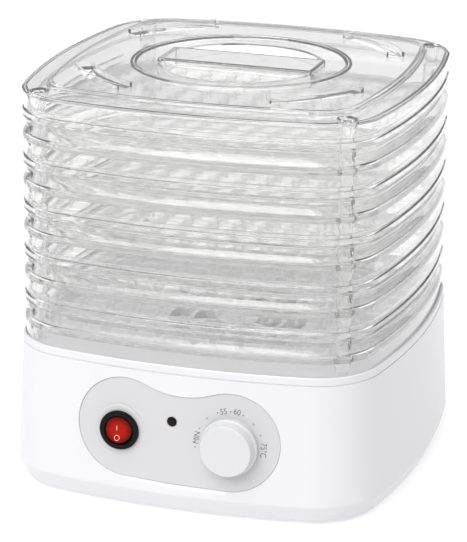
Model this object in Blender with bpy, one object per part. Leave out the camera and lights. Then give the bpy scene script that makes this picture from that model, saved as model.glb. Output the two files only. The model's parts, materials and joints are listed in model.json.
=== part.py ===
"""Food dehydrator: a fan-heater base, five stacking trays and a lid.

Frame: metres, +Z up, the front with the controls at -Y, the floor at z = 0, the stack's axis on the Z axis.
"""

import math

import bmesh
import bpy
from mathutils import Matrix, Vector

# Plan outline: a square with bowed sides and round corners, given by its half width.
REF_HALF = 0.1130
CORNER_RADIUS = 0.0386
SIDE_RADIUS = 0.4250
SIDE_STEPS = 4
CORNER_STEPS = 4

# Base heights and half widths
FOOT_HEIGHT = 0.0020
CREASE_Z = 0.0122
CREASE_HALF = 0.1180
TUCK_HALF = 0.1142
RIM_Z = 0.0887
RIM_HALF = 0.1143
RIM_WALL = 0.0013
LEDGE_Z = 0.0869
LEDGE_HALF = 0.1080
DECK_Z = 0.0805
DECK_THICK = 0.0026
WALL = 0.0026
OUTLET_RADIUS = 0.0460

# Stack
TRAY_COUNT = 5
TRAY_PITCH = 0.0274
TRAY_Z = 0.0872
FLOOR_Z = 0.0097
FLOOR_THICK = 0.0030
SKIRT_HALF = 0.1125
RIM_BAND_HALF = 0.1132
WAIST_HALF = 0.1106
TRAY_INNER_HALF = 0.1088
SKIRT_WALL = 0.0018
LIP_HALF = 0.1102
LATTICE_ROWS = 2
LATTICE_STEP = 0.0330
LATTICE_REACH = 0.0295
LIP_HEIGHT = 0.0020
POST_XY = 0.0905
GAP = 0.0003

# Lid, heights above the bottom of its skirt
LID_EDGE_Z = 0.0118
LID_STEP_HALF = 0.0979
LID_TOP_Z = 0.0149
LID_SKIN = 0.0020
RING_OUTER = 0.0649
RING_INNER = 0.0612
RING_TOP_Z = 0.0160
RECESS_RADIUS = 0.0475
BAR_HALF_WIDTH = 0.0150
BAR_HALF_LENGTH = 0.0470
BAR_TOP_Z = 0.0168
BAR_DEPTH = 0.0120
VENT_RADIUS = 0.0920
VENT_HALF_ANGLE = math.radians(17)
VENT_HALF_WIDTH = 0.0040
VENT_WALL = 0.0016
VENT_RISE = 0.0030

# Front controls: x and z of each centre
SWITCH_X, SWITCH_Z = -0.0335, 0.0470
KNOB_X, KNOB_Z = 0.0326, 0.0450
LAMP_X, LAMP_Z = -0.0020, 0.0557
LEFT_LOBE = (-0.0304, 0.0487, 0.0295)
RIGHT_LOBE = (0.0323, 0.0468, 0.0292)
WAIST_RADIUS = 0.0545
PANEL_DEPTH = 0.0010
PANEL_FLANGE = 0.0030
PAD_BACK_Y = -0.1065
SWITCH_PAD_RADIUS = 0.0150
SWITCH_SEAT_Y = -0.1155
KNOB_PAD_RADIUS = 0.0164
KNOB_SEAT_Y = -0.1158
KNOB_RADIUS = 0.0169
KNOB_HEIGHT = 0.0080
KNOB_FRONT_Y = KNOB_SEAT_Y - 0.0004 - KNOB_HEIGHT
BEZEL_RADIUS = 0.0118
ROCKER_RADIUS = 0.0077
ROCKER_TILT = math.radians(7)
SPINDLE_RADIUS = 0.0030

# Fan, heater and motor, all on the Z axis
DUCT_INNER = 0.0440
DUCT_LOW_Z = 0.0460
DUCT_SCREW_RADIUS = 0.0490
HEATER_Z = 0.0670
HEATER_RADIUS = 0.0300
HEATER_WIRE_COIL = 0.0024
SHAFT_RADIUS = 0.0020
BLADE_COUNT = 5
BLADE_TIP = 0.0400
IMPELLER_Z = 0.0530
CORE_LOW_Z, CORE_HIGH_Z = 0.0220, 0.0360

# Underside
COVER_HALF = 0.1105
COVER_LOW_Z, COVER_HIGH_Z = 0.0032, 0.0058
FOOT_XY = 0.0860
COVER_SCREWS = ((-0.066, -0.086), (0.066, -0.086), (-0.066, 0.086), (0.066, 0.086))
GLAND_X, GLAND_Z = 0.0000, 0.0280


def clear_scene():
    for obj in list(bpy.data.objects):
        bpy.data.objects.remove(obj, do_unlink=True)


def material(name, colour, roughness, metallic=0.0, alpha=1.0):
    mat = bpy.data.materials.new(name)
    mat.use_nodes = True
    shader = mat.node_tree.nodes["Principled BSDF"]
    shader.inputs["Base Color"].default_value = (*colour, 1.0)
    shader.inputs["Roughness"].default_value = roughness
    shader.inputs["Metallic"].default_value = metallic
    shader.inputs["Alpha"].default_value = alpha
    mat.diffuse_color = (*colour, alpha)
    return mat


def add_object(name, bm, mat, origin=(0, 0, 0), smooth=True):
    """Make a node from a closed bmesh given in world coordinates, with its origin at the given point."""
    bmesh.ops.recalc_face_normals(bm, faces=bm.faces)
    bmesh.ops.translate(bm, verts=bm.verts, vec=-Vector(origin))
    mesh = bpy.data.meshes.new(name)
    bm.to_mesh(mesh)
    bm.free()
    if smooth:
        mesh.shade_smooth()
        mesh.set_sharp_from_angle(angle=math.radians(30))
    obj = bpy.data.objects.new(name, mesh)
    obj.location = origin
    obj.data.materials.append(mat)
    bpy.context.scene.collection.objects.link(obj)
    return obj


def combine(target, tool_bm, operation):
    """Apply a Boolean with a world-space tool mesh to an object."""
    tool = add_object("tool", tool_bm, target.data.materials[0], smooth=False)
    modifier = target.modifiers.new("combine", "BOOLEAN")
    modifier.object = tool
    modifier.operation = operation
    graph = bpy.context.evaluated_depsgraph_get()
    result = bpy.data.meshes.new_from_object(target.evaluated_get(graph))
    target.modifiers.clear()
    target.data = result
    result.name = target.name
    bpy.data.objects.remove(tool, do_unlink=True)


def cut(target, tool_bm):
    combine(target, tool_bm, "DIFFERENCE")


def join(target, tool_bm):
    combine(target, tool_bm, "UNION")


def outline(half):
    """Points of the bowed, round-cornered square whose sides lie `half` from the axis."""
    inset = REF_HALF - half
    side = SIDE_RADIUS - inset
    corner = max(CORNER_RADIUS - inset, 0.002)
    k = side - half
    centre = (math.sqrt(2 * (side - corner) ** 2 - k * k) - k) / 2
    swing = math.atan2(centre, k + centre)
    quarter = []
    for i in range(SIDE_STEPS):
        t = -swing + 2 * swing * i / SIDE_STEPS
        quarter.append((side * math.sin(t), side - half - side * math.cos(t)))
    for i in range(CORNER_STEPS):
        u = swing + (math.pi / 2 - 2 * swing) * i / CORNER_STEPS
        quarter.append((centre + corner * math.sin(u), -centre - corner * math.cos(u)))
    points = []
    for turn in range(4):
        c, s = math.cos(turn * math.pi / 2), math.sin(turn * math.pi / 2)
        points += [(c * x - s * y, s * x + c * y) for x, y in quarter]
    return points


def square_loop(half, z):
    return [Vector((x, y, z)) for x, y in outline(half)]


def round_loop(radius, z):
    """A circle whose points stand at the same bearings as the outline's."""
    bearings = [math.atan2(y, x) for x, y in outline(REF_HALF)]
    return [Vector((radius * math.cos(t), radius * math.sin(t), z)) for t in bearings]


def arc(centre, radius, start, end, steps):
    """Points of an arc in a plane, both ends included; the angles are in radians."""
    angles = [start + (end - start) * i / steps for i in range(steps + 1)]
    return [(centre[0] + radius * math.cos(t), centre[1] + radius * math.sin(t)) for t in angles]


def loft(loops, closed=False, bm=None):
    """Join loops of equal length into a skin: closed into a ring of loops, or capped at both ends."""
    bm = bm or bmesh.new()
    rows = [[bm.verts.new(point) for point in loop] for loop in loops]
    count = len(rows[0])
    pairs = list(zip(rows, rows[1:]))
    if closed:
        pairs.append((rows[-1], rows[0]))
    for low, high in pairs:
        for i in range(count):
            j = (i + 1) % count
            bm.faces.new((low[i], low[j], high[j], high[i]))
    if not closed:
        bm.faces.new(rows[0][::-1])
        bm.faces.new(rows[-1])
    bmesh.ops.recalc_face_normals(bm, faces=bm.faces)
    return bm


def turned(profile, segments, closed=False, bm=None):
    """Turn (radius, z) points about the Z axis; a closed profile makes a hollow ring."""
    loops = []
    for radius, z in profile:
        angles = [2 * math.pi * i / segments for i in range(segments)]
        loops.append([Vector((radius * math.cos(t), radius * math.sin(t), z)) for t in angles])
    return loft(loops, closed, bm)


def prism(points, low, high, bm=None):
    """Extrude a flat outline of (x, y) points from z = low to z = high."""
    return loft([[Vector((x, y, z)) for x, y in points] for z in (low, high)], bm=bm)


def box(low, high, bm=None):
    corners = [(low[0], low[1]), (high[0], low[1]), (high[0], high[1]), (low[0], high[1])]
    return prism(corners, low[2], high[2], bm)


def placed(bm, matrix):
    bmesh.ops.transform(bm, matrix=matrix, verts=bm.verts)
    return bm


def merged(parts):
    """Gather separate, non-touching bmeshes into one tool."""
    whole = bmesh.new()
    for part in parts:
        mesh = bpy.data.meshes.new("part")
        part.to_mesh(mesh)
        part.free()
        whole.from_mesh(mesh)
        bpy.data.meshes.remove(mesh)
    return whole


def facing_front(x, y, z):
    """Local +Z points out of the front, local +Y points up."""
    return Matrix.Translation((x, y, z)) @ Matrix.Rotation(math.radians(90), 4, "X")


def wall_half(z):
    """Half width of the base's outer wall above its crease."""
    return CREASE_HALF + (RIM_HALF - CREASE_HALF) * (z - CREASE_Z) / (RIM_Z - CREASE_Z)


def front_y(x, z, depth=0.0):
    """The y of the base's front wall, or of a surface that lies `depth` inside it."""
    half = wall_half(z) - depth
    radius = SIDE_RADIUS - (REF_HALF - half)
    return radius - half - math.sqrt(radius * radius - x * x)


def front_slab(outer_depth, inner_depth, high=0.0850, columns=8):
    """A curved plate that follows the front wall between two depths, up to a height."""
    reach, low = 0.0750, 0.0130
    loops = []
    for i in range(columns + 1):
        x = -reach + 2 * reach * i / columns
        corners = ((outer_depth, low), (outer_depth, high), (inner_depth, high), (inner_depth, low))
        loops.append([Vector((x, front_y(x, z, depth), z)) for depth, z in corners])
    return loft(loops)


def panel_outline(grow=0.0):
    """The panel's outline as (x, z): two round lobes, a straight lower edge and a hollow upper edge."""
    (ax, az, ar), (bx, bz, br) = LEFT_LOBE, RIGHT_LOBE
    ar, br, waist = ar + grow, br + grow, WAIST_RADIUS - grow
    span = math.hypot(bx - ax, bz - az)
    slope = math.atan2(bz - az, bx - ax)
    low = slope - math.acos((ar - br) / span)
    along = ((ar + waist) ** 2 - (br + waist) ** 2 + span * span) / (2 * span)
    lift = math.acos(along / (ar + waist)) + slope
    wx, wz = ax + (ar + waist) * math.cos(lift), az + (ar + waist) * math.sin(lift)
    from_b = math.atan2(wz - bz, wx - bx)
    points = arc((ax, az), ar, low + 2 * math.pi, lift, 9)
    points += arc((wx, wz), waist, lift + math.pi, from_b + math.pi, 4)[1:-1]
    points += arc((bx, bz), br, from_b, low, 9)
    return points


def front_prism(points, back_y, front_y_end):
    """Extrude an (x, z) outline along Y."""
    return placed(prism(points, -back_y, -front_y_end), facing_front(0, 0, 0))


def base_housing(mat):
    """The outer shell: tucked foot, flared wall, rim with its tray ledge, and the deck round the outlet."""
    under = DECK_Z - DECK_THICK
    groove_z = RIM_Z - 0.0052
    loops = [
        square_loop(TUCK_HALF, FOOT_HEIGHT),
        square_loop(CREASE_HALF, CREASE_Z),
        square_loop(wall_half(groove_z), groove_z),
        square_loop(RIM_HALF - 0.0004, groove_z + 0.0005),
        square_loop(RIM_HALF, groove_z + 0.0010),
        square_loop(RIM_HALF, RIM_Z),
        square_loop(RIM_HALF - RIM_WALL, RIM_Z),
        square_loop(RIM_HALF - RIM_WALL, LEDGE_Z),
        square_loop(LEDGE_HALF, LEDGE_Z),
        square_loop(LEDGE_HALF - 0.0010, DECK_Z),
        round_loop(OUTLET_RADIUS, DECK_Z),
        round_loop(OUTLET_RADIUS, under),
        square_loop(LEDGE_HALF - 0.0040, under),
        square_loop(wall_half(under) - WALL, under - 0.0030),
        square_loop(CREASE_HALF - WALL, CREASE_Z + 0.0005),
        square_loop(TUCK_HALF - WALL, FOOT_HEIGHT),
    ]
    housing = add_object("base_housing", loft(loops, closed=True), mat)
    cut(housing, front_prism(panel_outline(), -0.100, -0.130))
    bosses = [(x, y, COVER_HIGH_Z + GAP) for x, y in COVER_SCREWS]
    bosses += [(x, 0.0, 0.0660) for x in (-0.057, 0.057)]
    for x, y, low in bosses:
        boss = turned([(0.0040, low), (0.0040, under + 0.001)], 6)
        join(housing, placed(boss, Matrix.Translation((x, y, 0))))
    pilots = [turned([(0.0017, low - 0.001), (0.0017, low + 0.0120)], 6) for x, y, low in bosses]
    for pilot, (x, y, low) in zip(pilots, bosses):
        placed(pilot, Matrix.Translation((x, y, 0)))
    duct_holes = [turned([(0.0014, under - 0.001), (0.0014, under + 0.0019)], 6) for _ in range(3)]
    for hole, (x, y) in zip(duct_holes, duct_screw_places()):
        placed(hole, Matrix.Translation((x, y, 0)))
    cut(housing, merged(pilots + duct_holes))
    hole = placed(turned([(0.0062, 0), (0.0062, 0.02)], 16), facing_front(GLAND_X, 0.125, GLAND_Z))
    cut(housing, hole)
    return housing


def duct_screw_places():
    bearings = [math.radians(t) for t in (90, 210, 330)]
    return [(DUCT_SCREW_RADIUS * math.cos(t), DUCT_SCREW_RADIUS * math.sin(t)) for t in bearings]


def bottom_cover(mat):
    """The base's floor plate, with intake slots under the motor, foot holes and screw holes."""
    plate = loft([square_loop(COVER_HALF, z) for z in (COVER_LOW_Z, COVER_HIGH_Z)])
    cover = add_object("bottom_cover", plate, mat)
    low, high = COVER_LOW_Z - 0.001, COVER_HIGH_Z + 0.001
    tools = []
    for row in range(-4, 5):
        half = 0.045 if abs(row) < 3 else 0.032
        y = row * 0.0100
        tools.append(box((-half, y - 0.0020, low), (half, y + 0.0020, high)))
    holes = [(x, y, 0.0033) for x in (-FOOT_XY, FOOT_XY) for y in (-FOOT_XY, FOOT_XY)]
    holes += [(x, y, 0.0018) for x, y in COVER_SCREWS]
    for x, y, radius in holes:
        tools.append(placed(turned([(radius, low), (radius, high)], 8), Matrix.Translation((x, y, 0))))
    cut(cover, merged(tools))
    return cover


def rubber_feet(mat):
    """Push-in feet: a pad under the cover and a bulb above it."""
    profile = [
        (0.0072, 0.0),
        (0.0080, 0.0006),
        (0.0080, COVER_LOW_Z - GAP),
        (0.0030, COVER_LOW_Z - GAP),
        (0.0030, COVER_HIGH_Z + GAP),
        (0.0042, COVER_HIGH_Z + GAP),
        (0.0022, COVER_HIGH_Z + 0.0030),
    ]
    places = {"front_left": (-1, -1), "front_right": (1, -1), "rear_left": (-1, 1), "rear_right": (1, 1)}
    for place, (sx, sy) in places.items():
        spot = (sx * FOOT_XY, sy * FOOT_XY, 0)
        add_object(f"foot_{place}", placed(turned(profile, 10), Matrix.Translation(spot)), mat, spot)


def screw(name, mat, place, head_z, tip_z, head_radius=0.0031, radius=0.0012, head_height=0.0018):
    """A vertical screw whose head is below; head_z is the height of the head's seat."""
    profile = [
        (head_radius * 0.8, head_z - head_height),
        (head_radius, head_z - head_height * 0.6),
        (head_radius, head_z),
        (radius, head_z),
        (radius, tip_z - 0.001),
        (radius * 0.5, tip_z),
    ]
    spot = (place[0], place[1], 0)
    add_object(name, placed(turned(profile, 8), Matrix.Translation(spot)), mat, (place[0], place[1], head_z))


def control_panel(mat):
    """The insert that fills the window from inside: face, flange, and flat pads for the switch and the knob."""
    face = add_object("control_panel", front_slab(PANEL_DEPTH, WALL + 0.0018), mat)
    combine(face, front_prism(panel_outline(-GAP), -0.090, -0.130), "INTERSECT")
    flange = add_object("flange", front_slab(WALL + 0.0009, WALL + 0.0024, DECK_Z - 0.0075), mat)
    combine(flange, front_prism(panel_outline(PANEL_FLANGE), -0.090, -0.130), "INTERSECT")
    bm = bmesh.new()
    bm.from_mesh(flange.data)
    bpy.data.objects.remove(flange, do_unlink=True)
    join(face, bm)
    for x, z, radius, seat in (
        (SWITCH_X, SWITCH_Z, SWITCH_PAD_RADIUS, SWITCH_SEAT_Y),
        (KNOB_X, KNOB_Z, KNOB_PAD_RADIUS, KNOB_SEAT_Y),
    ):
        rise = PAD_BACK_Y - seat
        pad = turned([(radius, 0), (radius, rise - 0.0004), (radius - 0.0004, rise)], 20)
        join(face, placed(pad, facing_front(x, PAD_BACK_Y, z)))
    holes = []
    for x, z, radius in (
        (SWITCH_X, SWITCH_Z, 0.0102),
        (KNOB_X, KNOB_Z, 0.0052),
        (LAMP_X, LAMP_Z, 0.0028),
    ):
        holes.append(placed(turned([(radius, 0), (radius, 0.040)], 14), facing_front(x, -0.090, z)))
    cut(face, merged(holes))
    return face


def switch_body(mat):
    """Round rocker switch: bezel on the pad, barrel behind it, and a well for the rocker."""
    seat = 0.0004
    profile = [
        (0.0097, -0.0190),
        (0.0097, seat),
        (BEZEL_RADIUS, seat),
        (BEZEL_RADIUS, seat + 0.0012),
        (BEZEL_RADIUS - 0.0008, seat + 0.0020),
        (0.0086, seat + 0.0020),
        (0.0083, seat + 0.0012),
        (0.0083, -0.0070),
        (0.0030, -0.0070),
        (0.0030, -0.0190),
    ]
    bm = turned(profile, 18, closed=True)
    add_object("switch_body", placed(bm, facing_front(SWITCH_X, SWITCH_SEAT_Y, SWITCH_Z)), mat)


def rocker_button(mat):
    """The rocker, pivoted on the X axis inside its well and at rest with its upper half pressed."""
    pivot = (SWITCH_X, SWITCH_SEAT_Y + 0.0020, SWITCH_Z)
    profile = [
        (0.0060, -0.0030),
        (0.0072, -0.0010),
        (ROCKER_RADIUS, 0.0012),
        (ROCKER_RADIUS, 0.0047),
        (ROCKER_RADIUS - 0.0006, 0.0055),
    ]
    bm = turned(profile, 18)
    rocker = add_object("rocker_button", bm, mat)
    dish = placed(turned([(0.0300, -0.02), (0.0300, 0.02)], 40), Matrix.Rotation(math.radians(90), 4, "Y"))
    cut(rocker, placed(dish, Matrix.Translation((0, 0, 0.0300 + 0.0044))))
    tilt = Matrix.Rotation(-ROCKER_TILT, 4, "X")
    rocker.data.transform(facing_front(0, 0, 0) @ tilt)
    rocker.location = pivot


def indicator(lens_mat, lamp_mat):
    """The lens pressed into the panel and the neon lamp behind it."""
    y = front_y(LAMP_X, LAMP_Z, PANEL_DEPTH)
    lens = turned(
        [(0.0024, -0.0030), (0.0024, 0.0003), (0.0030, 0.0003), (0.0028, 0.0008), (0.0012, 0.0012)], 16
    )
    add_object("indicator_lens", placed(lens, facing_front(LAMP_X, y, LAMP_Z)), lens_mat)
    lamp = turned([(0.0012, -0.0160), (0.0022, -0.0150), (0.0022, -0.0048), (0.0010, -0.0035)], 12)
    add_object("indicator_lamp", placed(lamp, facing_front(LAMP_X, y, LAMP_Z)), lamp_mat)


def temperature_knob(mat):
    """A hollow cap with a skirt and a hub that takes the spindle."""
    height = KNOB_HEIGHT
    profile = [
        (KNOB_RADIUS, 0.0),
        (KNOB_RADIUS, 0.0016),
        (0.0163, 0.0030),
        (0.0157, height - 0.0010),
        (0.0149, height),
        (0.0010, height),
        (0.0010, height - 0.0012),
        (0.0034, height - 0.0018),
        (0.0034, 0.0020),
        (0.0058, 0.0020),
        (0.0058, height - 0.0022),
        (0.0142, height - 0.0022),
        (0.0155, 0.0),
    ]
    place = (KNOB_X, KNOB_SEAT_Y - 0.0004, KNOB_Z)
    shell = placed(turned(profile, 24, closed=True), facing_front(*place))
    knob = add_object("temperature_knob", shell, mat, place)
    cap = turned([(0.0022, height - 0.0014), (0.0022, height)], 12)
    join(knob, placed(cap, facing_front(*place)))


def thermostat(body_mat, metal_mat):
    """Rotary thermostat behind the panel: case with threaded neck, nut on the pad's face, and spindle."""
    case_front = PAD_BACK_Y + GAP
    low = (KNOB_X - 0.019, case_front, KNOB_Z - 0.015)
    high = (KNOB_X + 0.019, case_front + 0.022, KNOB_Z + 0.015)
    case = add_object("thermostat_body", box(low, high), body_mat, smooth=False)
    neck = turned([(0.0047, -0.002), (0.0047, case_front - KNOB_SEAT_Y + 0.0019)], 12)
    join(case, placed(neck, facing_front(KNOB_X, case_front, KNOB_Z)))
    bore = turned([(SPINDLE_RADIUS + GAP, -0.012), (SPINDLE_RADIUS + GAP, 0.020)], 16)
    cut(case, placed(bore, facing_front(KNOB_X, case_front, KNOB_Z)))
    nut = turned([(0.0078, GAP), (0.0078, 0.0017), (0.0058, 0.0017), (0.0058, GAP)], 6, closed=True)
    placed(nut, facing_front(KNOB_X, KNOB_SEAT_Y, KNOB_Z))
    add_object("thermostat_nut", nut, metal_mat, smooth=False)
    spindle_end = KNOB_SEAT_Y - 0.0004 - KNOB_HEIGHT + 0.0024
    spindle = turned([(SPINDLE_RADIUS, 0.0), (SPINDLE_RADIUS, case_front + 0.010 - spindle_end)], 16)
    add_object(
        "thermostat_spindle",
        placed(spindle, facing_front(KNOB_X, case_front + 0.010, KNOB_Z)),
        metal_mat,
        (KNOB_X, case_front, KNOB_Z),
    )


def outlet_grille(mat):
    """The disc over the fan's outlet: a flange on the deck and two rings of open sectors."""
    low, top = 0.0785, DECK_Z + GAP
    profile = [(0.0455, low), (0.0455, top), (0.0490, top), (0.0484, top + 0.0014), (0.0440, top + 0.0018)]
    grille = add_object("outlet_grille", turned(profile, 24), mat)
    tools = []
    for inner, outer, count in ((0.0120, 0.0265, 6), (0.0295, 0.0415, 10)):
        for i in range(count):
            middle = 2 * math.pi * i / count
            reach = math.pi / count - 0.0016 / inner * 0.8
            sector = arc((0, 0), outer, middle - reach, middle + reach, 2)
            sector += arc((0, 0), inner, middle + reach, middle - reach, 1)
            tools.append(prism(sector, low - 0.001, top + 0.003))
    cut(grille, merged(tools))


def fan_duct(mat):
    """The sheet-metal tunnel round the fan and the heater, hung from the deck by its flange."""
    flange_z = DECK_Z - DECK_THICK - GAP
    outer = DUCT_INNER + 0.0008
    profile = [
        (outer, DUCT_LOW_Z),
        (outer, flange_z - 0.0010),
        (0.0520, flange_z - 0.0010),
        (0.0520, flange_z),
        (DUCT_INNER, flange_z),
        (DUCT_INNER, DUCT_LOW_Z),
    ]
    duct = add_object("fan_duct", turned(profile, 24, closed=True), mat)
    holes = []
    for x, y in duct_screw_places():
        hole = turned([(0.0015, flange_z - 0.003), (0.0015, flange_z + 0.001)], 6)
        holes.append(placed(hole, Matrix.Translation((x, y, 0))))
    cut(duct, merged(holes))


def heater(mica_mat, wire_mat, fuse_mat):
    """Two slotted mica boards crossed in the tunnel, the heating coil through them, and a thermal fuse."""
    reach, half_height, half_thick = 0.0425, 0.0070, 0.0005
    slot = 0.0009
    for name, turn, low, high in (
        ("heater_board_wide", 0.0, HEATER_Z - 0.0002, HEATER_Z + 0.01),
        ("heater_board_deep", 90.0, HEATER_Z - 0.01, HEATER_Z + 0.0002),
    ):
        rotation = Matrix.Rotation(math.radians(turn), 4, "Z")
        board = add_object(
            name,
            placed(
                box(
                    (-reach, -half_thick, HEATER_Z - half_height),
                    (reach, half_thick, HEATER_Z + half_height),
                ),
                rotation,
            ),
            mica_mat,
            smooth=False,
        )
        tools = [box((-slot, -0.002, low), (slot, 0.002, high))]
        for side in (-1, 1):
            ring = turned([(0.0030, -0.002), (0.0030, 0.002)], 12)
            tools.append(placed(ring, facing_front(side * HEATER_RADIUS, 0, HEATER_Z)))
        cut(board, placed(merged(tools), rotation))
    steps = 20
    loops = []
    for i in range(steps + 1):
        bearing = math.radians(50 + 340 * i / steps)
        out = Vector((math.cos(bearing), math.sin(bearing), 0))
        loop = []
        for j in range(6):
            t = math.pi / 3 * j
            radius = HEATER_RADIUS + HEATER_WIRE_COIL * math.cos(t)
            loop.append(out * radius + Vector((0, 0, HEATER_Z + HEATER_WIRE_COIL * math.sin(t))))
        loops.append(loop)
    add_object("heater_coil", loft(loops), wire_mat)
    half = [(0.0018, 0.004), (0.0006, 0.005), (0.0006, 0.011)]
    fuse = turned([(radius, -z) for radius, z in half[::-1]] + half, 8)
    turn = Matrix.Translation((0.014, 0.0035, HEATER_Z)) @ Matrix.Rotation(math.radians(90), 4, "Y")
    add_object("thermal_fuse", placed(fuse, turn), fuse_mat)


def fan(blade_mat, rotor_mat, shaft_mat):
    """Impeller, rotor and shaft, which turn together on the Z axis."""
    hub_low, hub_high = IMPELLER_Z - 0.0055, IMPELLER_Z + 0.0055
    bore = SHAFT_RADIUS + GAP
    hub = turned([(0.0090, hub_low), (0.0090, hub_high), (bore, hub_high), (bore, hub_low)], 16, closed=True)
    impeller = add_object("fan_impeller", hub, blade_mat, (0, 0, IMPELLER_Z))
    for i in range(BLADE_COUNT):
        blade = box((0.0080, -0.0105, -0.0006), (BLADE_TIP, 0.0105, 0.0006))
        pitch = Matrix.Translation((0, 0, IMPELLER_Z)) @ Matrix.Rotation(math.radians(26), 4, "X")
        spin = Matrix.Rotation(2 * math.pi * i / BLADE_COUNT, 4, "Z")
        blade_world = placed(blade, spin @ pitch)
        join(impeller, blade_world)
    rotor = turned(
        [(0.0108, CORE_LOW_Z), (0.0108, CORE_HIGH_Z), (bore, CORE_HIGH_Z), (bore, CORE_LOW_Z)], 24, closed=True
    )
    add_object("motor_rotor", rotor, rotor_mat)
    shaft = turned([(0.0014, 0.0130), (SHAFT_RADIUS, 0.0136), (SHAFT_RADIUS, 0.0580), (0.0014, 0.0586)], 16)
    add_object("motor_shaft", shaft, shaft_mat)


def motor(core_mat, coil_mat, cast_mat, bush_mat, steel_mat):
    """Shaded-pole motor: stamped core, coil on its yoke, two cast brackets with bushes, and the steel strap."""
    stack = box((-0.022, -0.020, CORE_LOW_Z), (0.022, 0.036, CORE_HIGH_Z))
    core = add_object("motor_core", stack, core_mat, smooth=False)
    low, high = CORE_LOW_Z - 0.001, CORE_HIGH_Z + 0.001
    tools = [turned([(0.0115, low), (0.0115, high)], 24), box((-0.012, 0.0165, low), (0.012, 0.0262, high))]
    for x in (-0.018, 0.018):
        tools.append(placed(turned([(0.0017, low), (0.0017, high)], 8), Matrix.Translation((x, 0, 0))))
    cut(core, merged(tools))
    coil = box((-0.0115, 0.0170, 0.0140), (0.0115, 0.0445, 0.0440))
    coil = add_object("motor_coil", coil, coil_mat, smooth=False)
    cut(coil, box((-0.013, 0.0258, CORE_LOW_Z - GAP), (0.013, 0.0364, CORE_HIGH_Z + GAP)))
    for name, seat, up in (("top", CORE_HIGH_Z, 1), ("bottom", CORE_LOW_Z, -1)):
        near, far = seat + up * 0.0035, seat + up * 0.0060
        bar_low, bar_high = min(near, far), max(near, far)
        bar = box((-0.022, -0.005, bar_low), (0.022, 0.005, bar_high))
        bar = add_object(f"bearing_bracket_{name}", bar, cast_mat)
        for x in (-0.018, 0.018):
            ends = sorted((seat + up * GAP, near + up * 0.001))
            leg = turned([(0.0035, ends[0]), (0.0035, ends[1])], 12)
            join(bar, placed(leg, Matrix.Translation((x, 0, 0))))
        tools = [turned([(0.0040, bar_low - 0.004), (0.0040, bar_high + 0.004)], 16)]
        for x in (-0.018, 0.018):
            hole = turned([(0.0017, bar_low - 0.006), (0.0017, bar_high + 0.006)], 8)
            tools.append(placed(hole, Matrix.Translation((x, 0, 0))))
        cut(bar, merged(tools))
        low, high = bar_low - 0.0008, bar_high + 0.0008
        bore, skin = SHAFT_RADIUS + GAP, 0.0037
        bush = turned([(skin, low), (skin, high), (bore, high), (bore, low)], 16, closed=True)
        add_object(f"bearing_{name}", bush, bush_mat)
    motor_mount(steel_mat)
    for side, x in (("left", -0.018), ("right", 0.018)):
        screw(f"motor_screw_{side}", steel_mat, (x, 0), 0.0157, 0.0462)
        nut = turned([(0.0032, 0.0438), (0.0032, 0.0456), (0.0018, 0.0456), (0.0018, 0.0438)], 6, closed=True)
        placed(nut, Matrix.Translation((x, 0, 0)))
        add_object(f"motor_nut_{side}", nut, steel_mat, smooth=False)
        foot_x = 0.057 if x > 0 else -0.057
        screw(f"mount_screw_{side}", steel_mat, (foot_x, 0), 0.0642, 0.0760)


def motor_mount(mat):
    """The strap under the tunnel that carries the motor, with both ends cranked up to bosses on the deck."""
    bar_low, bar_high, foot_low, foot_high = 0.0423, 0.0435, 0.0645, 0.0657
    section = [
        (-0.0620, foot_high), (-0.0620, foot_low), (-0.0514, foot_low), (-0.0514, bar_low),
        (0.0514, bar_low), (0.0514, foot_low), (0.0620, foot_low), (0.0620, foot_high),
        (0.0502, foot_high), (0.0502, bar_high), (-0.0502, bar_high), (-0.0502, foot_high),
    ]
    strap = add_object("motor_mount", front_prism(section, 0.0100, -0.0100), mat, smooth=False)
    tools = [turned([(0.0070, bar_low - 0.001), (0.0070, bar_high + 0.001)], 16)]
    for x in (-0.018, 0.018, -0.057, 0.057):
        tools.append(placed(turned([(0.0017, 0.040), (0.0017, 0.070)], 8), Matrix.Translation((x, 0, 0))))
    cut(strap, merged(tools))


def wiring_pieces(block_mat, gland_mat):
    """The terminal block on the cover and the cord's gland in the rear wall."""
    low = COVER_HIGH_Z + GAP
    body = box((0.034, 0.080, low), (0.062, 0.096, low + 0.012))
    block = add_object("terminal_block", body, block_mat, smooth=False)
    tools = []
    for i in range(3):
        well = turned([(0.0022, low + 0.005), (0.0022, low + 0.02)], 10)
        tools.append(placed(well, Matrix.Translation((0.0395 + 0.0085 * i, 0.088, 0))))
    cut(block, merged(tools))
    wall_y = -front_y(GLAND_X, GLAND_Z)
    end = -KNOB_FRONT_Y
    profile = [
        (0.0058, -0.0060), (0.0058, 0.0009), (0.0085, 0.0009), (0.0085, 0.0028), (0.0062, 0.0034),
        (0.0052, end - wall_y), (0.0036, end - wall_y), (0.0036, -0.0060),
    ]
    turn = Matrix.Translation((GLAND_X, wall_y, GLAND_Z)) @ Matrix.Rotation(math.radians(-90), 4, "X")
    add_object("cord_gland", placed(turned(profile, 16, closed=True), turn), gland_mat)


def corner_places():
    return [Matrix.Translation((sx * POST_XY, sy * POST_XY, 0)) for sx in (-1, 1) for sy in (-1, 1)]


def corner_posts(target, sections):
    """Join the same turned post to the target at its four corners."""
    for corner in corner_places():
        join(target, placed(turned(sections, 6), corner))


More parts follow.
